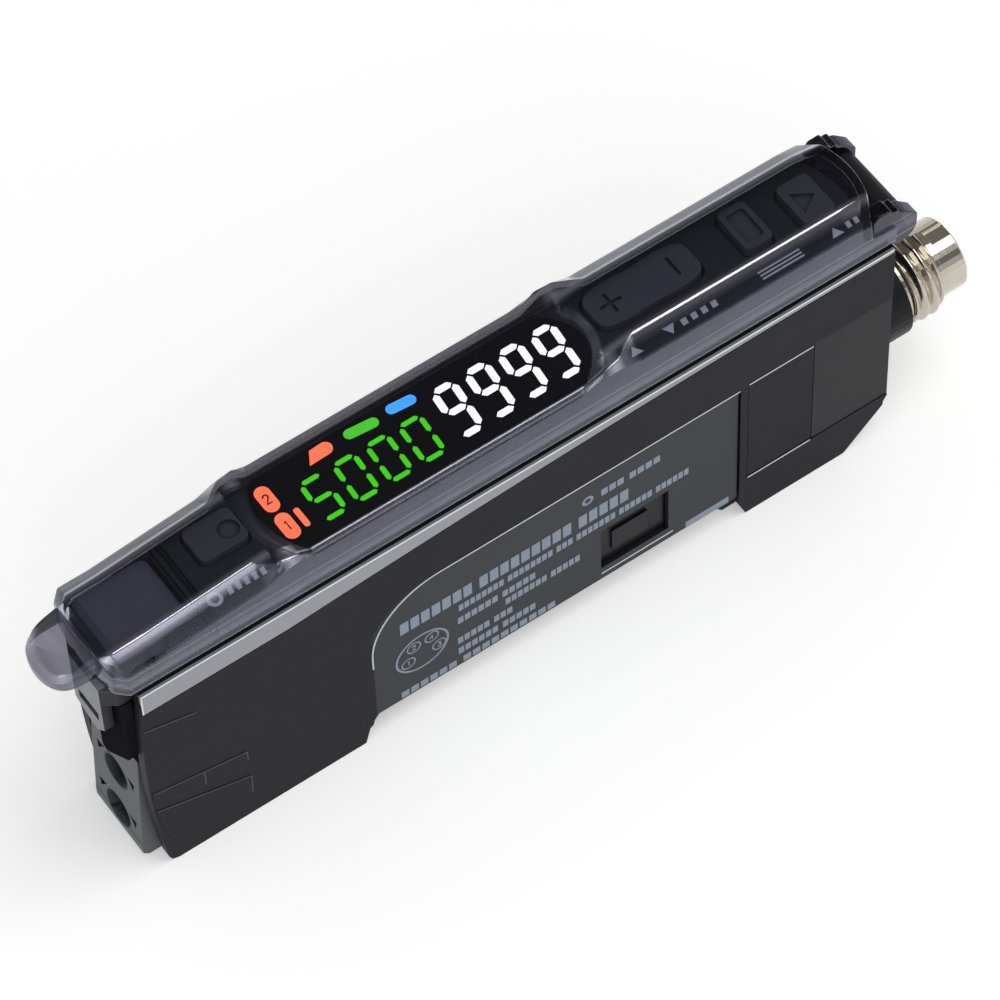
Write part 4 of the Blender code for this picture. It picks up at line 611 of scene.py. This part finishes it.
def coverStations(shape):
    # from front to rear: x, half width, half width of the top, top, shoulder, bow, lean
    wide = shape["half"]
    ridge = shape["ridge"]
    slope = shape["chamfer"]
    front = caseFront - shape["ahead"]
    low = sideTop + shape["skirt"]
    top, hump, flat, rear = (sideTop + shape[key] for key in ("frontTop", "hump", "flat", "rear"))
    near = glassLow[0] + shape["bowFront"] - 0.2
    far = glassHigh[0] - shape["bowRear"] - 0.2
    step, bow, back = shape["step"], shape["bowFront"], shape["bowRear"]
    ear, fade = shape["ear"], shape["fade"]
    rise = glassHigh[0] + 0.3 - bow
    end = caseRear - shape["rearSetback"]
    shelf = hinge[1] + lugRadius + 0.1
    flare = wide - 0.25
    return np.array([
        (front, wide - 0.9, ridge - 0.5, low, low, 0.5, 1.0),
        (front, wide - 0.9, ridge - 0.5, top - 0.5, top - 1.7, 0.5, 1.0),
        (front + 0.9, wide, ridge, top - 0.15, top - slope, 0.4, 0.5),
        (caseFront + 2.45, wide, ridge, top, top - slope, 0.0, 0.0),
        (near - step - ear - fade, wide, ridge, hump, hump - slope, 0.0, 0.0),
        (near - step - ear, wide, flare - 0.2, hump, hump - 0.7, bow * 0.5, -0.3),
        (near - step, wide, flare, hump - 0.05, hump - 0.6, bow, -0.6),
        (near, wide, flare - 0.3, flat, flat - 0.3, bow, -0.6),
        (far, wide, flare - 0.3, flat, flat - 0.3, -back, 0.6),
        (rise, wide, flare, hump + 0.2, hump - 0.5, -bow, 0.6),
        (rise + ear, wide, flare - 0.2, hump + 0.4, hump - 0.4, -bow * 0.6, 0.3),
        (rise + ear + fade, wide, ridge, rear, rear - slope, -0.6, 0.0),
        (end - 2.0, wide, ridge, rear, rear - slope, -0.4, 0.0),
        (end, wide, ridge - 0.2, rear - 0.25, rear - slope - 0.2, -shape["rearBow"], -1.0),
        (end + 0.2, wide, ridge, shelf, shelf - 0.1, -shape["rearBow"], -1.0),
        (caseRear, wide, ridge, shelf - 0.1, shelf - 0.3, 0.0, -1.0),
        (caseRear, wide, ridge, low, low, 0.0, -1.0),
    ])


def coverSkin(shape, inset):
    # a section (wall, shoulder, top, shoulder, wall) at every station, its corners softened,
    # its flat top filled in, bowed by x - bow (1 - (y / half width)^2), then softened lengthwise
    along, wide, ridge, top, shoulder, bow, lean = coverStations(shape).T
    low = np.full_like(top, sideTop + shape["skirt"])
    wide = wide - inset
    ridge = ridge - inset * 0.6
    top = np.maximum(top - inset, low)
    shoulder = np.maximum(shoulder - inset * 1.1, low)
    across = np.stack([-wide, -wide, -ridge, ridge, wide, wide])
    heights = np.stack([low, shoulder, top, top, shoulder, low])
    grid = np.stack([np.tile(along + lean * inset, (6, 1)), across, heights], -1)
    grid = roundRows(grid, shape["softness"], 4)
    middle = len(grid) // 2
    steps = np.linspace(0.0, 1.0, 26)[1:-1, None, None]
    filled = grid[middle - 1] * (1 - steps) + grid[middle] * steps
    grid = np.concatenate([grid[:middle], filled, grid[middle:]])
    grid[..., 0] -= bow * (1 - (grid[..., 1] / wide) ** 2)
    return roundRows(grid.swapaxes(0, 1), shape["softness"], 4)


def coverPieces(shape):
    outer = coverSkin(shape, 0.0)
    inner = coverSkin(shape, shape["wall"])
    rows, columns = outer.shape[:2]
    skin = gridFaces(rows, columns)
    size = rows * columns
    order = np.arange(size).reshape(rows, columns)
    rim = np.concatenate([order[0, :-1], order[:-1, -1], order[-1, :0:-1], order[:0:-1, 0]])
    after = np.roll(rim, -1)
    edge = np.column_stack([rim, after, after + size, rim + size])
    faces = np.vstack([skin, skin[:, ::-1] + size, edge])
    points = np.concatenate([outer.reshape(-1, 3), inner.reshape(-1, 3)]) * mm
    return points, faces


def carve(piece, cutter):
    # the cutter's solid is taken out of the piece, and the cutter is removed
    change = piece.modifiers.new("carve", "BOOLEAN")
    change.object = cutter
    change.solver = "EXACT"
    bpy.context.view_layer.update()
    ready = piece.evaluated_get(bpy.context.evaluated_depsgraph_get())
    mesh = bpy.data.meshes.new_from_object(ready)
    piece.modifiers.clear()
    piece.data = mesh
    bpy.data.objects.remove(cutter)


def loose(name, part):
    mesh = bpy.data.meshes.new(name)
    mesh.from_pydata(part[0].tolist(), [], [list(face) for face in part[1]])
    item = bpy.data.objects.new(name, mesh)
    bpy.context.scene.collection.objects.link(item)
    return item


coverSharp = 32.0    # degrees between faces from which an edge of the cover is sharp


def mended(piece):
    # doubles merged and normals turned outwards, for a piece built from a closed grid
    maker = bmesh.new()
    maker.from_mesh(piece.data)
    bmesh.ops.remove_doubles(maker, verts=maker.verts, dist=0.002 * mm)
    bmesh.ops.dissolve_degenerate(maker, edges=maker.edges, dist=0.001 * mm)
    bmesh.ops.recalc_face_normals(maker, faces=maker.faces)
    maker.to_mesh(piece.data)
    maker.free()
    piece.data.shade_smooth()
    piece.data.set_sharp_from_angle(angle=math.radians(coverSharp))
    return piece


skins = [coverPieces(coverShape)]
shell = putPiece("coverShell", skins, "cover", "cover_smoke", replaced=("protective_cover",))
mended(shell)
lugShape = {"inset": 1.65, "height": 3.5, "fin": 2.9}
lugInside = coverShape["half"] - lugShape["inset"]
notchShape = {"ahead": 0.25, "below": 1.0, "above": 0.6, "length": 6.0}


def notch(shape):
    # the opening between the lugs, round the hinge block
    front, rear = hinge[0] - lugRadius - shape["ahead"], hinge[0] + shape["length"]
    low, high = sideTop - shape["below"], hinge[1] + lugRadius + shape["above"]
    return plate([(front, low), (rear, low), (rear, high), (front, high)], -lugInside, lugInside, "side")


carve(shell, loose("notchCutter", notch(notchShape)))
shell.data.shade_smooth()
shell.data.set_sharp_from_angle(angle=math.radians(coverSharp))

noseShape = {"length": 3.9, "width": 5.8, "middle": 0.45, "rise": 0.55, "root": 2.8, "tip": 1.4}


def coverNose(shape):
    # a rounded wedge: half ovals in plan, from the edge to a smaller raised one on top
    root = caseFront - coverShape["ahead"] - 0.2
    low = sideTop + coverShape["skirt"] + shape["rise"]
    turns = np.linspace(-math.pi / 2, math.pi / 2, 33)
    sweep = np.maximum(np.cos(turns), 0.0) ** 0.45
    levels = [  # length share, width share, height at the tip, height at the root
        (0.95, 0.95, 0.0, 0.0),
        (1.0, 1.0, 0.08, 0.1),
        (1.0, 1.0, 0.6 * shape["tip"], 0.5 * shape["root"]),
        (0.9, 0.93, shape["tip"] - 0.1, shape["root"] - 0.25),
        (0.76, 0.74, shape["tip"] + 0.25, shape["root"]),
    ]
    rows = []
    for length, width, tip, back in levels:
        x = root - shape["length"] * length * sweep
        y = shape["middle"] - shape["width"] / 2 * width * np.sin(turns)
        share = np.clip((root - x) / shape["length"], 0.0, 1.0)
        rows.append(np.stack([x, y, low + back + (tip - back) * share], -1))
    grid = roundRows(np.array(rows), 0.12, 4)
    count, size = grid.shape[:2]
    faces = gridFaces(count, size).tolist()
    caps = [list(range(size)), [size * (count - 1) + index for index in range(size)][::-1]]
    back = [row * size for row in range(count)] + [row * size + size - 1 for row in range(count - 1, -1, -1)]
    return grid.reshape(-1, 3) * mm, faces + caps + [back]


mended(putPiece("coverNose", [coverNose(noseShape)], "cover", "cover_smoke", smoked("smokedNose", noseLook)))


def lugOutline(shape):
    # seen from the side: a round eye on the hinge axis below a stepped fin
    x, z = hinge
    top = z + shape["height"]
    back = x - shape["fin"]
    eye = ringPath((x, z), lugRadius, 24, start=math.pi, sweep=math.pi)
    fin = [
        (x + lugRadius, z + lugRadius * 0.7), (x + 0.2, top - 1.2), (x - 0.4, top - 0.9),
        (x - 0.5, top - 0.45), (x - 1.1, top - 0.4), (x - 1.3, top),
        (back + 0.5, top - 0.05), (back, top - 0.6), (back, z),
    ]
    return np.vstack([eye, fin])


outside = coverShape["half"] - coverShape["wall"] / 2
lugSpans = ((lugInside, outside), (-outside, -lugInside))
sides = [plate(lugOutline(lugShape), low, high, "side") for low, high in lugSpans]
lugs = putPiece("coverLugs", sides, "cover", "cover_smoke", smoked("smokedLugs", lugLook), sharp=40.0)
soften = lugs.modifiers.new("soften", "BEVEL")
soften.width = 0.12 * mm
soften.segments = 3
soften.limit_method = "ANGLE"
print("cover made")


glassTop = glassHigh[2]
lampGlow = 2.0    # the cover takes a good third of it
lampLevels = (glassTop + 0.003, glassTop + 0.016)    # how far a lit mark stands out of the glass
greenDigits = {"text": "5000", "x": -18.0, "pitch": 3.02, "y": -0.61, "half": 1.88, "bar": 0.8, "side": 0.91,
               "thick": 0.42, "slant": 0.061, "gap": 0.19}
whiteDigits = {"text": "9999", "x": -5.22, "pitch": 3.07, "y": 0.03, "half": 2.3, "bar": 0.8, "side": 0.88,
               "thick": 0.6, "slant": 0.096, "gap": 0.17}
segmentsOf = {"5": "tnmeb", "0": "tnwseb", "9": "tnwmeb"}    # places lit in each number


def digits(look):
    # every digit is seven places on a slanted frame; a place is a bar from one corner to the next
    half, reach, side, gap = look["half"], look["bar"], look["side"], look["gap"]
    places = {
        "t": ((-reach, half), (reach, half)),
        "m": ((-reach, 0.0), (reach, 0.0)),
        "b": ((-reach, -half), (reach, -half)),
        "n": ((-side, gap), (-side, half - gap)),
        "w": ((side, gap), (side, half - gap)),
        "s": ((-side, gap - half), (-side, -gap)),
        "e": ((side, gap - half), (side, -gap)),
    }
    parts = []
    for index, sign in enumerate(look["text"]):
        for key in segmentsOf[sign]:
            ends = np.array(places[key])
            ends[:, 0] += look["x"] + index * look["pitch"] + look["slant"] * ends[:, 1]
            ends[:, 1] += look["y"]
            parts.append(plate(bar(ends[0], ends[1], look["thick"]), *lampLevels))
    return parts


def lamp(outline):
    return plate(outline, *lampLevels)


strokesOf = {  # numbers as lines on a grid 1 wide and 2 high, its middle at 0, 0
    "1": [[(-0.25, 0.62), (0.12, 1.0), (0.12, -1.0)]],
    "2": [[(-0.5, 0.5), (-0.42, 0.82), (-0.1, 1.0), (0.25, 0.93), (0.47, 0.66), (0.42, 0.25),
           (-0.5, -1.0), (0.55, -1.0)]],
    "3": [[(-0.45, 0.78), (-0.1, 1.0), (0.3, 0.88), (0.42, 0.52), (0.25, 0.16), (-0.1, 0.05),
           (0.32, -0.1), (0.5, -0.5), (0.3, -0.88), (-0.1, -1.0), (-0.5, -0.75)]],
    "4": [[(0.2, -1.0), (0.2, 1.0), (-0.55, -0.4), (0.55, -0.4)]],
}


def number(sign, middle, height, width, low, high, face="top"):
    # a number's lines, scaled, moved to the middle and given a width
    lines = [np.array(line) * height / 2 + np.asarray(middle) for line in strokesOf[sign]]
    return [stroke(line, width, low, high, face) for line in lines]


quarter = math.pi / 2
putMarks("greenDigits", digits(greenDigits), "display_grey", glowing("greenLight", (62, 198, 16), lampGlow))
putMarks("whiteDigits", digits(whiteDigits), "display_grey", glowing("whiteLight", (255, 255, 255), lampGlow))
orangeLamps = [
    lamp(pill((-21.55, 1.7), 2.6, 1.3, quarter)),
    lamp(pill((-21.6, -1.2), 2.6, 1.3, quarter)),
    lamp(pill((-20.3, -1.18), 1.95, 0.5, quarter)),
    lamp(np.vstack([
        [(-16.54, 3.5), (-17.23, 2.31)],
        ringPath((-15.4, 2.98), 0.6, 12, start=-quarter, sweep=math.pi),
    ])),
]
putMarks("orangeLamps", orangeLamps, "display_grey", glowing("orangeLight", (255, 118, 78), lampGlow))
greenLamp = lamp(pill((-12.15, 2.9), 3.0, 0.95, -0.09))
putMarks("greenLamp", [greenLamp], "display_grey", glowing("greenLampLight", (70, 190, 40), lampGlow))
blueLamp = lamp(pill((-8.45, 2.95), 2.6, 0.95, -0.08))
putMarks("blueLamp", [blueLamp], "display_grey", glowing("blueLight", (64, 160, 235), lampGlow))
lampNumbers = []
for sign, middle in (("2", (-21.55, 1.7)), ("1", (-21.6, -1.2))):
    lampNumbers += number(sign, middle, 0.85, 0.13, lampLevels[1], lampLevels[1] + 0.01)
putMarks("lampNumbers", lampNumbers, "display_grey", moulded("lampInk", (130, 24, 14), 0.5, edge=0.01))
print("display made")


inkLook = moulded("labelInk", (146, 157, 173), 0.5, 0.12, 0.001, 0.05,
                  edge=0.01, edgeHighlight=0.0, Specular_IOR_Level=0.2)
legendLook = moulded("legendInk", (246, 249, 255), 0.45, 0.1, 0.001, 0.04, edge=0.01, edgeHighlight=0.0)
labelOut = -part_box("label_plate")[0].y / mm
printLevels = (labelOut + 0.002, labelOut + 0.012)    # how far the ink stands out of the label
blockStep, wordStep = 1.25, 1.9    # in blocks, within a word and to the next word


def words(start, end, middle, height, counts):
    # a line of print: for each word a row of so many blocks, each a step after the one before
    steps = np.concatenate([np.append(np.full(count - 1, blockStep), wordStep) for count in counts])
    places = np.concatenate([[0.0], np.cumsum(steps)[:-1]])
    block = (end - start) / (places[-1] + 1.0)
    corners = [(0, 0), (1, 0), (1, 1), (0, 1)]
    low = middle - height / 2
    return [
        plate([(x + u * block, low + v * height) for u, v in corners], *printLevels, "side")
        for x in start + places * block
    ]


printLines = [  # start, end, middle, height, blocks in each word
    (-14.7, 7.2, 10.1, 1.55, (7, 9, 5)),
    (-9.2, 13.1, 8.25, 0.85, (8, 8, 3, 7, 6, 6)),
    (-9.35, -1.9, 6.5, 0.85, (6, 5)),
    (-4.8, 2.4, 5.2, 0.85, (7, 5)),
    (-9.45, -4.2, 3.65, 0.85, (5, 3)),
    (-9.45, -2.0, 2.15, 0.85, (6, 5)),
    (-15.0, -0.1, 0.72, 0.8, (6, 10)),
    (4.6, 10.3, 12.45, 0.85, (3, 4)),
]
labelPrint = [plate([(12.85, 0.1), (17.15, 0.1), (17.15, 0.95), (12.85, 0.95)], *printLevels, "side")]
for start, end, middle, height, counts in printLines:
    labelPrint += words(start, end, middle, height, counts)
labelPrint.append(stroke(ringPath((3.3, 12.5), 0.42, 24), 0.26, *printLevels, "side", True))
labelPrint.append(stroke(ringPath((-12.8, 5.45), 2.45, 64, 0.93), 0.2, *printLevels, "side", True))
contacts = {"1": (-14.14, 4.75), "2": (-13.55, 6.55), "4": (-11.85, 6.6), "3": (-11.2, 4.95)}
for sign, middle in contacts.items():
    labelPrint.append(stroke(ringPath(middle, 0.62, 32), 0.13, *printLevels, "side", True))
    labelPrint += number(sign, middle, 0.62, 0.12, *printLevels, "side")
putMarks("labelPrint", labelPrint, "label_grey", inkLook)

panelTop = inMm(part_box("top_bezel"))[1][2]
legendLevels = (panelTop + 0.002, panelTop + 0.014)
legendRow = -3.08    # the legends' line along the panel
arrowShape = {"half": 0.55, "foot": 0.42, "tip": 0.45}


def legend(outline):
    return plate(outline, *legendLevels)


def arrow(x, way, shape=arrowShape):
    # a triangle that points to the far side (way 1) or to the near side (way -1)
    foot = legendRow - shape["foot"] * way
    return legend([(x - shape["half"], foot), (x + shape["half"], foot), (x, legendRow + shape["tip"] * way)])


def dashes(start, end, count, height=0.2):
    # short upright marks between two places, as on a scale
    step = (end - start) / count
    low, high = legendRow - height, legendRow + height
    corners = ((0.0, low), (0.55, low), (0.65, high), (0.1, high))
    return [legend([(x + share * step, y) for share, y in corners]) for x in start + step * np.arange(count)]


legends = [
    stroke(ringPath((-29.45, legendRow), 0.5, 32), 0.3, *legendLevels, closed=True),
    *dashes(-28.3, -24.6, 5, 0.34),
    arrow(9.2, 1), arrow(12.6, -1), *dashes(13.6, 17.4, 4, 0.3), arrow(28.5, 1), *dashes(29.5, 31.0, 2, 0.3),
]
legends += [stroke([(21.2, y), (25.2, y)], 0.17, *legendLevels) for y in (-3.42, -3.08, -2.74)]
putMarks("panelLegends", legends, "bezel_black", legendLook)
print("print made")


sideOut = -caseLow[1]
padLevels = (sideOut - 0.05, sideOut + 0.05)
relief = [
    plate([(-38.0, 8.3), (-38.0, 6.4), (-29.4, 4.3), (-29.4, 6.45)], *padLevels, "side"),
    plate([(-37.9, 5.6), (-37.0, 0.75), (-29.35, -0.1), (-29.25, 2.7)], *padLevels, "side"),
]
putMarks("sideRelief", relief, "case_plastic")
# painted highlights: the lines below are drawn lighter than the case
reliefPaths = [  # upper edges of the two pads, the divider and the wedge by the strip
    [(-37.9, 8.28), (-29.4, 6.43), (-29.4, 5.3)],
    [(-37.8, 5.58), (-29.27, 2.7), (-29.34, 0.4)],
    [(-33.3, 7.2), (-33.3, 5.4)],
    [(-37.9, 17.5), (-33.3, 16.1)],
]
reliefLines = [stroke(path, 0.07, sideOut + 0.01, sideOut + 0.062, "side") for path in reliefPaths]
putMarks("reliefLines", reliefLines, "case_plastic", moulded("reliefHighlight", (62, 62, 67), 0.4, 0.2, 0.001, 0.03))

stripLow, stripHigh = inMm(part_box("silver_strip"))
edgeOut = (-stripLow[1] - 0.04, -stripLow[1] + 0.03)
edgeHeight, edgeFront = stripHigh[2] - 0.08, stripLow[0] + 0.06
# painted highlights: bright lines along the strip's top bevel and its front edge
edgeLines = [
    stroke([(stripLow[0], edgeHeight), (stripHigh[0], edgeHeight)], 0.16, *edgeOut, "side"),
    stroke([(edgeFront, stripLow[2] + 0.1), (edgeFront, stripHigh[2] - 0.1)], 0.12, *edgeOut, "side"),
]
putMarks("stripEdge", edgeLines, "strip_silver", moulded("stripHighlight", (244, 244, 246), 0.25, 0.2, 0.001, 0.02))

fieldOut = (sideOut - 0.04, sideOut + 0.012)
arc = ringPath((-10.88, 8.68), 6.58, 32, start=math.pi, sweep=-math.pi / 2)
litPaths = [  # the label field's upper edge and the service panel's two edges
    (np.vstack([[(-17.46, 7.2)], arc, [(18.0, 15.26)]]), 0.13),
    ([(18.95, 15.42), (25.25, 15.42)], 0.1),
    ([(18.95, 2.3), (25.25, 2.3)], 0.1),
]
fieldEdge = [stroke(path, width, *fieldOut, "side") for path, width in litPaths]
portOut = (labelOut - 0.03, labelOut + 0.014)
fieldEdge.append(stroke([(4.5, 0.86), (11.6, 0.86)], 0.14, *portOut, "side"))
putMarks("fieldEdge", fieldEdge, "case_plastic", moulded("litEdge", (214, 214, 218), 0.35, 0.2, 0.001, 0.03))

chinShape = {"foot": 0.5, "top": -0.9, "length": 2.4, "proud": 0.02, "side": 0.01}
funnelShape = {"mouth": 2.0, "bore": 1.2, "depth": 1.7, "ahead": 0.5, "length": 5.0, "steps": 32}


def funnel(shape, height):
    # a cone along X, from the mouth's radius to the bore's, then straight on; closed at both ends
    start, steps = blockLow[0] - shape["ahead"], shape["steps"]
    stations = np.array([start, start + shape["depth"], start + shape["length"]])
    radii = np.array([shape["mouth"], shape["bore"], shape["bore"]])
    turns = np.linspace(0.0, 2 * math.pi, steps, endpoint=False)
    x = np.repeat(stations[:, None], steps, 1)
    y = -radii[:, None] * np.sin(turns)
    z = height + radii[:, None] * np.cos(turns)
    points = np.stack([x, y, z], -1).reshape(-1, 3) * mm
    ends = [list(range(steps))[::-1], list(range(2 * steps, 3 * steps))]
    return points, gridFaces(3, steps, False, True).tolist() + ends


def chinBlock(shape):
    # the block's lower front edge, cut off at a slant from the foot's height to its length
    front, under = blockLow[0] - shape["proud"], blockLow[2] - shape["proud"]
    rear, wide = blockLow[0] + shape["length"], blockHigh[1] + shape["side"]
    outline = [
        (front, shape["top"]), (front, blockLow[2] + shape["foot"]),
        (blockLow[0] + shape["foot"], under), (rear, under), (rear, shape["top"]),
    ]
    return plate(outline, -wide, wide, "side")


blockChin = putMarks("blockChin", [chinBlock(chinShape)], "block_grey")
carve(blockChin, loose("boreCutter", funnel(funnelShape, boreLook["heights"][0])))
print("relief made")


stageLook = {"size": 4.0, "colour": (238, 238, 238), "glow": 0.34}


def addFloor(look):
    half = look["size"] / 2
    height = cadLow.z - 0.00002
    corners = [(-half, -half, height), (half, -half, height), (half, half, height), (-half, half, height)]
    mesh = bpy.data.meshes.new("floor")
    mesh.from_pydata(corners, [], [(0, 1, 2, 3)])
    floor = bpy.data.objects.new("floor", mesh)
    bpy.context.scene.collection.objects.link(floor)
    finish = Finish("paleFloor", look["colour"], Roughness=0.9)
    finish.set("Specular IOR Level", 0.0)
    ray = finish.make("ShaderNodeLightPath", out="Is Camera Ray")
    mirror = finish.make("ShaderNodeLightPath", out="Is Glossy Ray")
    through = finish.make("ShaderNodeLightPath", out="Is Transmission Ray")
    seen = (ray + mirror + through).clipped()
    cloud = finish.noise(90.0, 2.0)
    finish.set("Base Color", finish.lit(finish.colour[:3], 0.98 + cloud * 0.03))
    glow = finish.mixed(seen, (0.0, 0.0, 0.0, 1.0), (1.0, 1.0, 1.0, 1.0))
    finish.set("Emission Color", glow)
    finish.set("Emission Strength", look["glow"])
    mesh.materials.append(finish.material)


studioLook = {"light": 0.45, "ceiling": 0.2, "low": 0.12, "high": 0.5}


def addWorld(look):
    # plain grey light; the camera and clear plastic see it white, and a mirror sees it white
    # low down, darker from the low to the high share of the way up
    world = bpy.data.worlds.new("studio")
    bpy.context.scene.world = world
    world.use_nodes = True
    studio = Nodes(world.node_tree, "Background")
    camera, mirror, through = (
        studio.make("ShaderNodeLightPath", out=f"Is {ray} Ray") for ray in ("Camera", "Glossy", "Transmission")
    )
    way = studio.make("ShaderNodeTexCoord", out="Generated")
    height = studio.make("ShaderNodeSeparateXYZ", {}, {0: way}, 2)
    dark = height.ramp(look["low"], look["high"]) * (1.0 - look["ceiling"])
    clear = (camera + through).clipped()
    strength = clear + (1.0 - clear) * (mirror * (1.0 - dark) + (1.0 - mirror) * look["light"])
    studio.set("Strength", strength)
    studio.set("Color", (1.0, 1.0, 1.0, 1.0))


lamps = {  # direction to the lamp (x, y, z), distance, side and power
    "overhead": ((0.3, -0.2, 0.95), 0.65, 0.42, 1.5),
    "nearSide": ((-0.2, -1.0, 0.75), 0.6, 0.35, 0.45),
    "frontFill": ((-1.0, -0.45, 0.5), 0.6, 0.3, 0.3),
}


def addLamps(rows):
    middle = (cadLow + cadHigh) / 2
    for name, (way, distance, size, power) in rows.items():
        data = bpy.data.lights.new(name, "AREA")
        data.size = size
        data.energy = power
        lampObject = bpy.data.objects.new(name, data)
        bpy.context.scene.collection.objects.link(lampObject)
        way = Vector(way).normalized()
        lampObject.location = middle + way * distance
        lampObject.rotation_euler = way.to_track_quat("Z", "Y").to_euler()


cameraView = {"lens": 187.81, "azimuth": 32.7026, "elevation": 56.3126, "roll": -2.7135,
              "place": (-125.098, -192.077, 353.643)}


def addCamera(view):
    # the view runs along (sin a cos e, cos a cos e, -sin e), with its picture axes turned by the roll
    turn, tilt, roll = (math.radians(view[key]) for key in ("azimuth", "elevation", "roll"))
    ahead = Vector((math.sin(turn) * math.cos(tilt), math.cos(turn) * math.cos(tilt), -math.sin(tilt)))
    right = Vector((math.cos(turn), -math.sin(turn), 0.0))
    down = ahead.cross(right)
    across = right * math.cos(roll) - down * math.sin(roll)
    below = right * math.sin(roll) + down * math.cos(roll)
    data = bpy.data.cameras.new("camera")
    data.lens = view["lens"]
    data.sensor_width = 36.0
    data.clip_start = 0.01
    data.clip_end = 20.0
    camera = bpy.data.objects.new("camera", data)
    bpy.context.scene.collection.objects.link(camera)
    place = Vector(view["place"]) * mm
    matrix = Matrix((across, -below, -ahead)).transposed().to_4x4()
    matrix.translation = place
    camera.matrix_world = matrix
    bpy.context.scene.camera = camera


addFloor(stageLook)
addWorld(studioLook)
addLamps(lamps)
addCamera(cameraView)
bpy.context.scene.view_settings.view_transform = "Standard"
print("stage set")
